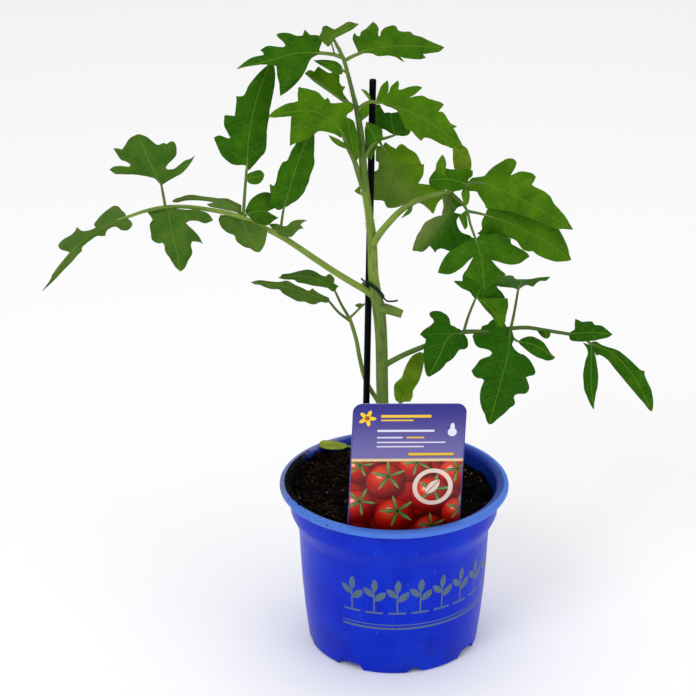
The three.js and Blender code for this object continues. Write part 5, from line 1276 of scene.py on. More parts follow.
class Finish:
    """A material on a Principled BSDF, with methods that add nodes to it."""

    def __init__(self, name, **levels):
        self.material = bpy.data.materials.new(name)
        self.material.use_nodes = True
        self.tree = self.material.node_tree
        self.shader = self.tree.nodes["Principled BSDF"]
        for label, value in levels.items():
            self.shader.inputs[label.replace("_", " ").title().replace("Ior", "IOR")].default_value = value

    def add(self, kind, settings, inputs, output=0):
        """Adds a node with its settings, and with the values or wires of its sockets."""
        node = self.tree.nodes.new(kind)
        for label, value in settings.items():
            setattr(node, label, value)
        for label, value in inputs.items():
            self.feed(node.inputs[label], value)
        return Wire(self, node.outputs[output])

    def feed(self, socket, value):
        """Joins a wire to a socket, or sets the socket to a value."""
        if isinstance(value, Wire):
            self.tree.links.new(value.socket, socket)
        else:
            socket.default_value = value

    def put(self, label, value):
        """Feeds one of the shader's own inputs."""
        self.feed(self.shader.inputs[label], value)

    def place(self):
        """The place on the piece, in metres."""
        return self.add("ShaderNodeTexCoord", {}, {}, "Object")

    def attribute(self, name, output="Vector"):
        """What the mesh itself carries under a name."""
        return self.add("ShaderNodeAttribute", {"attribute_name": name}, {}, output)

    def stretch(self, vector, scale):
        """A vector whose three numbers are each scaled."""
        return self.add("ShaderNodeVectorMath", {"operation": "MULTIPLY"}, {0: vector, 1: scale})

    def noise(self, vector, size, detail=3.0, rough=0.5, warp=0.0):
        """Cloudy noise from 0 to 1 with blots about size long, in the vector's own unit."""
        return self.add(
            "ShaderNodeTexNoise",
            {},
            {"Vector": vector, "Scale": 1 / size, "Detail": detail, "Roughness": rough, "Distortion": warp},
        )

    def cells(self, vector, size, feature="F1", output="Distance"):
        """Cells about size across, in the vector's own unit."""
        inputs = {"Vector": vector, "Scale": 1 / size}
        return self.add("ShaderNodeTexVoronoi", {"feature": feature}, inputs, output)

    def mix(self, share, first, second):
        """A colour between two others. share may be a wire or a number."""
        node = self.tree.nodes.new("ShaderNodeMix")
        node.data_type = "RGBA"
        for index, value in ((0, share), (6, first), (7, second)):
            self.feed(node.inputs[index], value)
        return Wire(self, node.outputs[2])

    def done(self, colour, roughness, relief, depth, strength):
        """Connects colour, roughness and relief, whose depth is in millimetres. Returns the material."""
        self.put("Base Color", colour)
        self.put("Roughness", roughness)
        levels = {"Height": relief, "Distance": depth * MM, "Strength": strength}
        self.put("Normal", self.add("ShaderNodeBump", {}, levels))
        return self.material


def setting(name):
    """The group of settings with this name, which the scene holds."""
    return getattr(bpy.context.scene, name)


def leaf_finish(name, deep, young, vein, roughness, vein_share, cell_bump):
    """Leaf skin: veins from the blade's own map with painted shade in the hollows beside them, cloudy green,
    fine cells.
    """
    skin = Finish(name, specular_ior_level=0.06)
    spot = skin.place()
    from_rib, from_vein, from_edge = skin.attribute("leaf_map").parts()
    youth = skin.attribute("youth", "Fac")
    cloud = skin.noise(spot, 9 * MM, 3.0)
    fine = skin.noise(spot, 1.1 * MM, 3.0)
    young_share = youth + (cloud - 0.5) * 0.7
    colour = skin.mix(young_share.step(0.0, 1.0), deep, young)
    colour = skin.mix(young_share.step(0.9, 1.9), colour, srgb(172, 170, 60))
    shade = (cloud * 0.45 + fine * 0.5).step(0.2, 0.75)
    colour = skin.mix(shade, skin.mix(0.4, colour, srgb(8, 34, 0)), colour)
    mesh_vein = skin.cells(spot, 2.6 * MM, "DISTANCE_TO_EDGE").below(0.05, 0.04)
    rib_line = from_rib.below(0.3, 0.22)
    vein_line = from_vein.below(0.16, 0.2)
    line = rib_line.most(vein_line * 0.8).most(mesh_vein * 0.22) * vein_share
    # Painted shade: darker green in the hollows along the veins and the rib.
    vein_groove_shade = from_vein.least(from_rib).below(0.5, 0.5)
    colour = skin.mix(vein_groove_shade * 0.22, colour, srgb(10, 44, 0))
    colour = skin.mix(line, colour, vein)
    colour = skin.mix(from_edge.below(0.1, 0.2) * 0.3, colour, deep)
    bloom = skin.attribute("bloom", "Fac")
    colour = skin.mix((bloom * (0.6 + cloud * 0.8)).step(0.0, 1.0), colour, srgb(106, 120, 64))
    cell = skin.cells(spot, 0.7 * MM)
    height = cell * 0.5 - line * 0.8 + fine * 0.6
    return skin.done(colour, roughness + (fine - 0.5) * 0.2, height, cell_bump, 0.55)


def stalk_finish():
    """Stalk skin: from fresh to deep green by its tone, which on the stem is also painted shade, with long
    darker streaks of painted shade for its grooves, and a fine bloom.
    """
    choice = setting("tomato_plant")
    skin = Finish("green_stalk", specular_ior_level=0.1)
    spot = skin.place()
    tone = skin.attribute("youth", "Fac")
    around = skin.stretch(skin.attribute("stalk_map"), (1.0, 1.0, 0.045))
    streak = skin.noise(around, 0.45, 2.0)
    cloud = skin.noise(spot, 6 * MM, 3.0)
    fine = skin.noise(spot, 0.5 * MM, 2.0)
    fresh = (tone + (cloud - 0.5) * 0.25).step(0.0, 1.0)
    green = skin.mix(fresh, choice.old_stalk_colour, choice.stalk_colour)
    # Painted shade: darker green streaks along the stalk stand for the shade in its grooves.
    groove = skin.mix(fresh, srgb(30, 58, 2), choice.groove_shade_colour)
    colour = skin.mix((streak * 0.75 + cloud * 0.35).step(0.34, 0.66), groove, green)
    colour = skin.mix(0.12 + fine.step(0.5, 0.8) * 0.25, colour, srgb(150, 168, 112))
    return skin.done(colour, 0.5 + (cloud - 0.5) * 0.25, streak * 0.6 + fine * 0.4, 0.16, 0.6)


PLANT_FINISHES = []


def plant_finishes():
    """The three finishes that stem and leaves share, made once."""
    if not PLANT_FINISHES:
        choice = setting("tomato_plant")
        top = leaf_finish(
            "leaf_upper_side", choice.deep_colour, choice.young_colour, choice.vein_colour, 0.55, 0.48, 0.32
        )
        under = leaf_finish(
            "leaf_underside", choice.under_colour, srgb(108, 138, 52), srgb(136, 162, 84), 0.66, 0.8, 0.4
        )
        PLANT_FINISHES.extend([top, under, stalk_finish()])
    return PLANT_FINISHES


def pot_finish():
    """Blue plastic: painted light on the lip, painted shade on its inner slope and the wall inside, a printed
    band of leaf sprigs, dust, and peat that clings to it, near black at the left inside the rim where it also
    paints shade.
    """
    choice = setting("tomato_pot")
    skin = Finish("pot_blue_plastic", specular_ior_level=0.1)
    spot = skin.place()
    right, back, height = spot.parts()
    up = height / MM
    reach = (right * right + back * back) ** 0.5 / MM
    cloud = skin.noise(spot, 16 * MM, 4.0)
    fine = skin.noise(spot, 1.0 * MM, 3.0)
    body = skin.mix(cloud.step(0.3, 0.75), choice.body_colour, choice.pale_colour)
    lip = up.above(LIP_FOOT, 0.3) * reach.above(LIP_REACH, 0.4)
    # Painted light: the lip's top drawn paler blue, as if it caught the light.
    colour = skin.mix(lip * 0.75, body, choice.lip_light_colour)
    # Painted shade on the lip's inner slope past its crest, which lies further in at the front where that
    # slope faces away.
    crest = CREST_REACH - (back / MM / 60).step(-0.05, -0.85) * 2.4
    lip_slope_shade = up.above(LIP_INSIDE, 0.3) * (crest - reach - cloud * 0.6).above(0.0, 0.35)
    colour = skin.mix(lip_slope_shade * 0.8, colour, choice.inside_shade_colour)
    # Painted shade down the wall inside the pot, which flares out at the collar.
    wall_reach = WALL_REACH + (up - COLLAR_FOOT).most(0.0).least(COLLAR_RISE) * COLLAR_FLARE
    inner_wall_shade = up.above(BARE_WALL, 1.0) * (reach - wall_reach).below(0.0, 0.3)
    colour = skin.mix(inner_wall_shade, colour, choice.inside_shade_colour)
    # Peat spilled at the left over the lip and into the pot; on the inner slope and wall it also stands for
    # painted shade.
    peat_spill_and_shade = (fine * 1.4 + cloud - (right / MM + 50) * 0.09 - (back / MM) * 0.02).step(0.0, 0.5)
    far_left = (-right / MM + back / MM * 0.4 + cloud * 10).above(52, 6)
    colour = skin.mix(lip * far_left * fine.step(0.25, 0.65) * 0.8, colour, srgb(124, 118, 142))
    # Near black on the inner slope and wall at the left: peat, and painted shade.
    colour = skin.mix(lip_slope_shade.most(inner_wall_shade) * peat_spill_and_shade, colour, srgb(7, 5, 5))
    colour = skin.mix(lip * peat_spill_and_shade * fine.above(0.6, 0.06) * 0.6, colour, srgb(30, 26, 38))

    degrees = right.turn(-back) * (180 / math.pi)
    printed = degrees.above(PRINT_START, 0.3) * degrees.below(PRINT_END, 0.3) * reach.above(44, 1)
    cell = (degrees - PRINT_START).repeat(SPRIG_TURN) - SPRIG_TURN / 2
    across = cell * 0.85
    tall = up - SPRIG_HEIGHT

    def leaf_shape(x, y, tilt, length, width):
        """A pointed leaf that grows from a place and leans by tilt degrees."""
        c, s = math.cos(math.radians(tilt)), math.sin(math.radians(tilt))
        run = ((across - x) * s + (tall - y) * c) / length
        aside = ((across - x) * c - (tall - y) * s).size() / width
        belly = (run * (1 - run)).most(0.0) * 4
        return (belly - aside).above(0.0, 0.06) * run.above(0.0, 0.02) * run.below(1.0, 0.02)

    sprig = leaf_shape(0.3, 0.0, 46, 8.6, 2.0)
    sprig = sprig.most(leaf_shape(-0.3, 2.4, -44, 7.6, 1.8))
    sprig = sprig.most(leaf_shape(0.0, 5.0, 4, 8.4, 1.7))
    stalk_line = across.size().below(0.42, 0.12) * tall.above(-7.0, 0.2) * tall.below(6.0, 0.3)
    ground_line = (tall + 7.0).size().below(0.55, 0.12) * across.size().below(4.6, 0.2)
    sprig = sprig.most(stalk_line).most(ground_line)
    rules = (up - LOWER_RULE).size().below(0.6, 0.1)
    rules = rules.most((up - LOWER_RULE - 2.2).size().below(0.3, 0.1))
    mark = sprig.most(rules) * printed
    worn = skin.noise(spot, 0.7 * MM, 2.0).above(0.33, 0.05)
    colour = skin.mix(mark * worn * 0.86, colour, choice.print_colour)

    scuff = skin.noise(skin.stretch(spot, (1.0, 1.0, 0.35)), 1.6 * MM, 4.0, 0.7).above(0.68, 0.05)
    colour = skin.mix(scuff * 0.18, colour, srgb(150, 165, 235))
    crumb_share = skin.noise(spot, 9 * MM, 2.0) + up.below(12, 12) * 0.16
    crumb = skin.cells(spot, 3.2 * MM).below(0.13, 0.04) * crumb_share.above(0.57, 0.05)
    colour = skin.mix(crumb * choice.dirt, colour, srgb(24, 20, 26))
    film = skin.noise(spot, 22 * MM, 5.0, 0.7).above(0.55, 0.15) * up.below(20, 14) * 0.35
    colour = skin.mix(film * choice.dirt, colour, srgb(30, 34, 80))
    dull = (crumb * 0.4).most(lip_slope_shade.most(inner_wall_shade) * peat_spill_and_shade * 0.6)
    roughness = 0.34 + (cloud - 0.5) * 0.14 + dull + mark * 0.12
    return skin.done(colour, roughness, cloud * 0.6 + fine * 0.12 + crumb * 0.6, 0.35, 0.35)


def peat_finish():
    """Dark damp peat, brown in its fibres and crumbs."""
    skin = Finish("dark_peat", specular_ior_level=0.03)
    spot = skin.place()
    clump = skin.noise(spot, 5 * MM, 5.0, 0.65)
    grain = skin.noise(spot, 0.9 * MM, 4.0, 0.7)
    fibre = skin.noise(skin.stretch(spot, (1.0, 3.2, 3.2)), 2.2 * MM, 4.0, 0.7, 1.5)
    colour = skin.mix((clump * 0.5 + grain * 0.6).step(0.35, 0.8), srgb(2, 1, 1), srgb(14, 10, 7))
    colour = skin.mix(fibre.above(0.7, 0.06) * 0.3, colour, srgb(42, 33, 21))
    to_left = (0.35 - spot.parts()[0] / (60 * MM)).step(0.0, 1.0)
    reddish = skin.noise(spot, 7 * MM, 2.0).above(0.5, 0.1) * to_left
    crumb = skin.cells(spot, 1.6 * MM, output="Color").parts()[0]
    colour = skin.mix(crumb.above(0.8, 0.05) * reddish * 0.6, colour, srgb(58, 37, 32))
    pale = crumb.below(0.022, 0.01) * skin.cells(spot, 1.6 * MM).below(0.45, 0.1)
    colour = skin.mix(pale * 0.6, colour, srgb(122, 118, 108))
    return skin.done(colour, 0.86 + (grain - 0.5) * 0.25, grain + clump, 0.8, 0.9)


def fibre_finish():
    """Brown fibres of the peat."""
    skin = Finish("peat_fibre", specular_ior_level=0.04)
    spot = skin.place()
    grain = skin.noise(spot, 1.2 * MM, 4.0, 0.6)
    colour = skin.mix(grain.step(0.3, 0.7), srgb(18, 12, 9), srgb(60, 43, 31))
    return skin.done(colour, 0.8 + (grain - 0.5) * 0.2, grain, 0.2, 0.6)


def rod_finish():
    """Black plastic rod with fine drawn lines along it."""
    skin = Finish("black_rod_plastic", specular_ior_level=0.05)
    spot = skin.place()
    lines = skin.noise(skin.stretch(spot, (6.0, 6.0, 0.25)), 1.5 * MM, 3.0)
    cloud = skin.noise(spot, 8 * MM, 3.0)
    colour = skin.mix(lines.step(0.3, 0.8), srgb(0, 1, 0), srgb(5, 8, 7))
    return skin.done(colour, 0.42 + (cloud - 0.5) * 0.3, lines, 0.1, 0.5)


def wire_finish():
    """Dark green coated wire."""
    skin = Finish("green_coated_wire", specular_ior_level=0.15)
    spot = skin.place()
    cloud = skin.noise(spot, 2.5 * MM, 3.0)
    colour = skin.mix(cloud.step(0.35, 0.7), srgb(3, 16, 8), srgb(14, 48, 26))
    return skin.done(colour, 0.35 + (cloud - 0.5) * 0.3, cloud, 0.1, 0.4)


def label_finish():
    """The label's print: a violet field with a flower, a drop and plain rules, and under it a picture of
    tomatoes with a leaf in a ring. Its back is plain."""
    choice = setting("tomato_label")
    skin = Finish("printed_label", specular_ior_level=0.22, coat_roughness=0.12)
    right, up, out = skin.attribute("print_place").parts()
    spot = skin.place()
    fine = skin.noise(spot, 0.8 * MM, 3.0)

    def far(x, y):
        """How far the print is from a place on it."""
        return ((right - x) ** 2 + (up - y) ** 2) ** 0.5

    colour = skin.mix(up.step(LABEL_HEIGHT, 38.0), choice.upper_colour, choice.middle_colour)
    x, y = FLOWER
    petal_edge = 3.22 + ((up - y).turn(right - x) * 5 + 0.4).cos() * 1.38
    colour = skin.mix((petal_edge - far(x, y)).above(0.0, 0.12), colour, srgb(246, 200, 40))
    colour = skin.mix(far(x, y).below(1.3, 0.15), colour, srgb(150, 95, 20))
    for left, end, y, half, share, tint in LABEL_RULES:
        rule = right.above(left, 0.2) * right.below(end, 0.2) * (up - y).size().below(half, 0.12)
        colour = skin.mix(rule * share, colour, srgb(*tint))
    x, y = DROP
    from_tip = ((right - x) ** 2 + ((up - y - 3) / 2) ** 2) ** 0.5
    for drop in (far(x, y).below(2.3, 0.15), from_tip.below(1.1, 0.2)):
        colour = skin.mix(drop, colour, srgb(222, 226, 246))

    ground = skin.mix(skin.noise(spot, 9 * MM, 2.0).step(0.35, 0.65), srgb(70, 5, 6), srgb(168, 22, 12))
    for x, y, radius, turn in TOMATOES:
        away = far(x, y) / radius
        light = far(x - radius * 0.3, y + radius * 0.34) / radius
        fruit = skin.mix(light.step(1.3, 0.2), srgb(104, 4, 4), srgb(206, 30, 14))
        fruit = skin.mix(light.below(0.3, 0.3) * 0.45, fruit, srgb(238, 110, 64))
        fruit = skin.mix(light.below(0.1, 0.12) * 0.8, fruit, srgb(255, 226, 206))
        fruit = skin.mix(away.above(0.95, 0.07) * 0.75, fruit, srgb(48, 2, 4))
        ground = skin.mix(away.below(1.0, 0.03), ground, fruit)
        x, y, length = x + radius * 0.12, y + radius * 0.3, radius * 0.78
        aside = (((up - y).turn(right - x) * (5 / (2 * math.pi)) + turn).repeat(1.0) - 0.5).size() * 2
        star = ((1 - aside) ** 1.7 * length + length * 0.12 - far(x, y)).above(0.0, 0.15)
        green = skin.mix(aside.below(0.12, 0.25), srgb(52, 82, 28), srgb(136, 158, 92))
        ground = skin.mix(star, ground, green)
        ground = skin.mix(far(x, y).below(radius * 0.08, 0.15), ground, srgb(40, 60, 24))
    x, y = BADGE
    ring = (far(x, y) - 9.2).size().below(1.15, 0.15)
    run = ((right - x) * 0.64 + (up - y) * 0.77) / 5.4
    aside = ((right - x) * 0.77 - (up - y) * 0.64).size() / 2.5
    leaf = (1 - run * run - aside).above(0.0, 0.08) * aside.above(0.09, 0.05)
    ground = skin.mix(ring.most(leaf) * 0.85, ground, srgb(240, 222, 212))
    colour = skin.mix(up.below(PICTURE_TOP, 0.1), colour, ground)
    colour = skin.mix((up - PICTURE_TOP - 0.5).size().below(0.75, 0.15), colour, choice.divider_colour)

    back_side = out.below(0.0, 0.1)
    plain = skin.mix(fine.step(0.3, 0.7), srgb(214, 214, 222), srgb(228, 228, 234))
    colour = skin.mix(back_side, colour, plain)
    border = right.size().above(LABEL_WIDTH / 2 - 0.5, 0.1).most(up.above(LABEL_HEIGHT - 0.5, 0.1))
    colour = skin.mix(border * (1 - back_side), colour, srgb(60, 58, 140))
    colour = skin.mix(up.below(-3.5, 0.2), colour, srgb(206, 206, 216))
    skin.put("Coat Weight", 0.1 + back_side * -0.05)
    return skin.done(colour, 0.3 + (fine - 0.5) * 0.12, skin.noise(spot, 5 * MM, 2.0), 0.25, 0.25)


def floor_finish(colour):
    """Pale floor, faintly cloudy."""
    skin = Finish("pale_floor", specular_ior_level=0.2, roughness=0.9)
    cloud = skin.noise(skin.place(), 0.4, 2.0)
    skin.put("Base Color", skin.mix(cloud * 0.06, colour, srgb(235, 235, 238)))
    return skin.material


# Sizes and colours that a user may change


def colour_property(name, description, default):
    """A colour that a user may change."""
    return bpy.props.FloatVectorProperty(
        name=name, description=description, subtype="COLOR", size=4, min=0, max=1, default=default
    )


class TOMATO_PG_pot(bpy.types.PropertyGroup):
    """Colours of the pot and its dirt, with the light painted on its lip and the shade painted inside it"""

    body_colour: colour_property("Body", "Colour of the pot's wall", srgb(0, 34, 186))
    pale_colour: colour_property("Worn body", "Paler blue where the wall is rubbed", srgb(6, 48, 200))
    # Painted light on the lip's top.
    lip_light_colour: colour_property("Lip", "Colour of the rolled lip", srgb(86, 136, 222))
    # Painted shade on the lip's inner slope and the wall inside.
    inside_shade_colour: colour_property("Inside", "Colour of the wall inside", srgb(14, 42, 124))
    print_colour: colour_property("Print", "Colour of the printed sprigs and lines", srgb(92, 112, 108))
    dirt: bpy.props.FloatProperty(
        name="Dirt", description="How much peat clings to the foot", subtype="FACTOR", min=0, max=1,
        default=0.9,
    )


class TOMATO_PG_plant(bpy.types.PropertyGroup):
    """Colours of the plant and its blades' thickness"""

    deep_colour: colour_property("Deep green", "Upper side of the older leaves", srgb(36, 92, 0))
    young_colour: colour_property("Young green", "Upper side of the youngest leaves", srgb(86, 132, 4))
    vein_colour: colour_property("Veins", "Colour of the veins", srgb(104, 144, 38))
    under_colour: colour_property("Underside", "Underside of the leaves", srgb(82, 114, 34))
    stalk_colour: colour_property("Fresh stalks", "Green of the palest stalks", srgb(122, 148, 48))
    old_stalk_colour: colour_property("Old stalks", "Green of the darkest stalks", srgb(48, 88, 4))
    # Painted shade in the pale stalks' grooves.
    groove_shade_colour: colour_property("Grooves", "Green of the pale stalks' grooves", srgb(86, 114, 26))
    blade_thickness: bpy.props.FloatProperty(
        name="Blade", description="Thickness of a leaf blade", unit="LENGTH", min=0.1 * MM, max=MM,
        default=0.34 * MM,
    )


class TOMATO_PG_label(bpy.types.PropertyGroup):
    """Colours of the label's fields"""

    upper_colour: colour_property("Upper field", "Colour at the label's top edge", srgb(46, 42, 132))
    middle_colour: colour_property("Middle field", "Colour just above the picture", srgb(112, 104, 166))
    divider_colour: colour_property("Divider", "Line between field and picture", srgb(225, 200, 150))


class TOMATO_PG_stage(bpy.types.PropertyGroup):
    """Floor and lights"""

    floor_colour: colour_property("Floor", "Colour of the floor", srgb(255, 255, 255))
    key_power: bpy.props.FloatProperty(
        name="Key light", description="Power of the main light", unit="POWER", min=0, default=8
    )
    fill_power: bpy.props.FloatProperty(
        name="Fill light", description="Power of the fill light", unit="POWER", min=0, default=3
    )
    sky: bpy.props.FloatProperty(
        name="Sky", description="Strength of the light all round", min=0, default=0.76
    )


# Shared steps


def clear_selection():
    """Back to object mode with nothing selected."""
    if bpy.context.mode != "OBJECT":
        bpy.ops.object.mode_set(mode="OBJECT")
    bpy.ops.object.select_all(action="DESELECT")


def only(thing):
    """Makes one object the active one and the only one selected."""
    clear_selection()
    thing.select_set(True)
    bpy.context.view_layer.objects.active = thing


def apply_place():
    """Puts the active object's place, turn and size into its mesh."""
    bpy.ops.object.transform_apply(location=True, rotation=True, scale=True)


def link(thing):
    """Puts a new object into the scene."""
    bpy.context.scene.collection.objects.link(thing)


def join(things):
    """Joins objects into the first of them."""
    clear_selection()
    for thing in things:
        thing.select_set(True)
    bpy.context.view_layer.objects.active = things[0]
    bpy.ops.object.join()
    return things[0]


def pick(thing, wanted):
    """Selects, in edit mode, the corners that a rule wants and the edges between them."""
    bpy.ops.mesh.select_all(action="DESELECT")
    bpy.ops.object.mode_set(mode="OBJECT")
    for corner in thing.data.vertices:
        corner.select = wanted(corner.co)
    for edge in thing.data.edges:
        edge.select = all(thing.data.vertices[index].select for index in edge.vertices)
    bpy.ops.object.mode_set(mode="EDIT")


def extrude(shift, growth, centre=(0, 0, 0)):
    """Extrudes what is selected, and then makes the new end larger or smaller about a centre."""
    bpy.ops.mesh.extrude_region_move(TRANSFORM_OT_translate={"value": shift})
    bpy.ops.transform.resize(value=growth, center_override=centre)


def settle(thing, name):
    """Names a finished piece and puts its place into its mesh."""
    only(thing)
    apply_place()
    thing.name = name
    thing.data.name = name
    return thing


def modify(thing, kind, **settings):
    """Adds a modifier with its settings and applies it."""
    only(thing)
    modifier = thing.modifiers.new(kind.title(), kind)
    for label, value in settings.items():
        setattr(modifier, label, value)
    bpy.ops.object.modifier_apply(modifier=modifier.name)


def roughen(thing, pattern, size, height, **settings):
    """Displaces a piece by a pattern whose lumps have a size and height in millimetres."""
    texture = bpy.data.textures.new("lumps", pattern)
    texture.noise_scale = size * MM
    modify(thing, "DISPLACE", texture=texture, texture_coords="LOCAL", strength=height * MM, **settings)


def smooth(thing, degrees):
    """Shades a piece smooth where its faces meet at less than an angle."""
    only(thing)
    bpy.ops.object.shade_smooth_by_angle(angle=math.radians(degrees))


def finish_piece(thing, node, slot, *materials):
    """Gives a piece the finishes that it has not got yet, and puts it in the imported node's place."""
    for material in materials:
        thing.data.materials.append(material)
    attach(thing, "root")
    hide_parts(node)


def turned(profile, sides):
    """A wall turned about the pot's axis from a profile of (radius, height) in millimetres."""
    clear_selection()
    radius, height = profile[0]
    bpy.ops.mesh.primitive_circle_add(vertices=sides, radius=radius * MM, location=(0, 0, height * MM))
    thing = bpy.context.object
    bpy.ops.object.mode_set(mode="EDIT")
    bpy.ops.mesh.select_all(action="SELECT")
    for next_radius, next_height in profile[1:]:
        growth = next_radius / radius
        extrude((0, 0, (next_height - height) * MM), (growth, growth, 1))
        radius, height = next_radius, next_height
    bpy.ops.object.mode_set(mode="OBJECT")
    return thing


def empty_mesh():
    """A mesh with the layers that leaves and stalks carry."""
    mesh = bmesh.new()
    mesh.verts.layers.float_vector.new("leaf_map")
    mesh.verts.layers.float_vector.new("stalk_map")
    mesh.verts.layers.float.new("youth")
    mesh.verts.layers.float.new("bloom")
    return mesh


def object_of(mesh, name):
    """A new object from a mesh that is done with."""
    data = bpy.data.meshes.new(name)
    mesh.to_mesh(data)
    mesh.free()
    thing = bpy.data.objects.new(name, data)
    link(thing)
    return thing


def plant_object(mesh, name):
    """A new object with the three finishes that stem and leaves share."""
    thing = object_of(mesh, name)
    for finish in plant_finishes():
        thing.data.materials.append(finish)
    return thing


def foliage(name, stalks, leaflets, first_number):
    """One leaf: its blades with their thickness, joined to its stalks and midribs."""
    blades = empty_mesh()
    for number, shape in enumerate(leaflets):
        leaflet_sheet(blades, shape, first_number + number)
    blades = plant_object(blades, name)
    thickness = setting("tomato_plant").blade_thickness
    modify(blades, "SOLIDIFY", thickness=thickness, offset=0, material_offset=UNDER_SLOT)
    stems = empty_mesh()
    for stalk in stalks:
        stalk_tube(stems, stalk["path"], stalk["radii"], stalk.get("tones", (0.4, 0.4)))
    for shape in leaflets:
        leaflet_rib(stems, shape)
    leaf = join([blades, plant_object(stems, name + "_stalks")])
    smooth(leaf, 55)
    return settle(leaf, name)


def mound(x, y, centre, size, height):
    """Height at a place of a rounded mound round a centre."""
    squared = (x - centre[0]) ** 2 + (y - centre[1]) ** 2
    return height * np.exp(-squared / (2 * size ** 2))


def soil_top(x, y):
    """Height of the soil: up to the lip and heaped at the left, lower at the right, with clods all over."""
    height = SOIL_LEVEL + SOIL_RIGHT_SLOPE * x + SOIL_BACK_SLOPE * y
    waves = ((x, *SOIL_WAVE_ACROSS), (y, *SOIL_WAVE_BACK))
    across, back = (np.sin(pace * value + start) for value, pace, start in waves)
    height = height + SOIL_WAVE_HEIGHT * across * back
    height = height + mound(x, y, **SOIL_HEAP)
    for clod in range(CLOD_MOUNDS):
        reach = CLOD_REACH * math.sqrt((clod + 0.5) / CLOD_MOUNDS)
        turn = clod * SPIRAL_TURN
        centre = (reach * math.cos(turn), reach * math.sin(turn))
        height = height + mound(x, y, centre, CLOD_SIZE, CLOD_HEIGHT + CLOD_SPREAD * math.sin(clod * clod))
    return height


# Pieces


class Piece:
    """What the operators of all pieces share."""

    bl_options = {"REGISTER", "UNDO"}


class TOMATO_OT_pot(Piece, bpy.types.Operator):
    """Adds the blue plastic pot with its rolled lip, stepped collar and drain notches"""

    bl_idname = "tomato.add_pot"
    bl_label = "Add Pot"

    def execute(self, context):
        outside = [
            (10, 0.25), (43.2, 0.25), (43.6, 0.0), (44.3, 0.15), (44.9, 0.8), (45.1, 1.7), (47, 17),
            (48.6, 34), (49.5, 49), (50.3, 65.6), (50.7, 67), (52.4, 71), (54.1, 74.6), (54.6, 75.8),
            (54.75, 81), (54.9, 87.6), (55.2, 88.15), (56, 88.2), (59.2, 88.2), (59.9, 88.5), (60.3, 89.1),
            (60.35, 89.8), (60.2, 90.5), (59.7, 91), (58.9, RIM_HEIGHT),
        ]
        inside = [
            (55.4, RIM_HEIGHT), (54.6, 90.9), (53.9, 90.1), (53.6, 89), (53.3, 75.8), (49.2, 66.8),
            (47.4, 34), (43.9, 2.4), (42.6, WALL), (10, WALL),
        ]
        pot = turned([*outside, *inside], 144)
        bpy.ops.object.mode_set(mode="EDIT")
        for height in (0.25, WALL):
            level = height * MM - pot.location.z
            pick(pot, lambda spot: math.hypot(*spot.xy) < 10.5 * MM and abs(spot.z - level) < 0.1 * MM)
            bpy.ops.mesh.extrude_region_move()
            bpy.ops.mesh.merge(type="CENTER")
        bpy.ops.mesh.select_all(action="SELECT")
        bpy.ops.mesh.remove_doubles(threshold=0.01 * MM)
        bpy.ops.mesh.normals_make_consistent(inside=False)
        bpy.ops.object.mode_set(mode="OBJECT")
        settle(pot, "plastic_pot")
        self.shape_drains(pot, False)
        self.shape_drains(pot, True)
        smooth(pot, 32)
        finish_piece(pot, "pot", "pot", pot_finish())
        return {"FINISHED"}

    def shape_drains(self, pot, cut):
        """Adds the covers of the eight drains, or cuts the drains through the pot's foot."""
        wall, end, below = (0.0, DRAIN_END, DRAIN_OVERCUT) if cut else (WALL, COVER_END, -COVER_GAP)
        start = DRAIN_START - wall
        blocks = []
        for drain in range(DRAIN_COUNT):
            size = WIDE_DRAIN if drain % 2 else NARROW_DRAIN
            foot, top, height = (size[word] for word in ("foot", "top", "height"))
            spread = (foot - top) * below / height
            tall = height + below + wall
            clear_selection()
            bpy.ops.mesh.primitive_cube_add(
                size=1, location=((start + end) / 2 * MM, 0, (tall / 2 - below) * MM),
                scale=((end - start) * MM, MM, tall * MM),
            )
            block = bpy.context.object
            apply_place()
            bpy.ops.object.mode_set(mode="EDIT")
            for above, width in ((True, top + 2 * wall), (False, foot + spread + 2 * wall)):
                pick(block, lambda spot: (spot.z > height / 2 * MM) == above)
                bpy.ops.transform.resize(value=(1, width, 1), center_override=(0, 0, 0))
            bpy.ops.mesh.select_all(action="SELECT")
            bpy.ops.mesh.bevel(offset=0.5 * MM, segments=3, affect="EDGES", clamp_overlap=True)
            bpy.ops.object.mode_set(mode="OBJECT")
            block.rotation_euler = (0, 0, FIRST_DRAIN + drain * 2 * math.pi / DRAIN_COUNT - math.pi / 2)
            apply_place()
            blocks.append(block)
        shape = join(blocks)
        modify(pot, "BOOLEAN", operation="DIFFERENCE" if cut else "UNION", object=shape, solver="EXACT")
        bpy.data.objects.remove(shape)


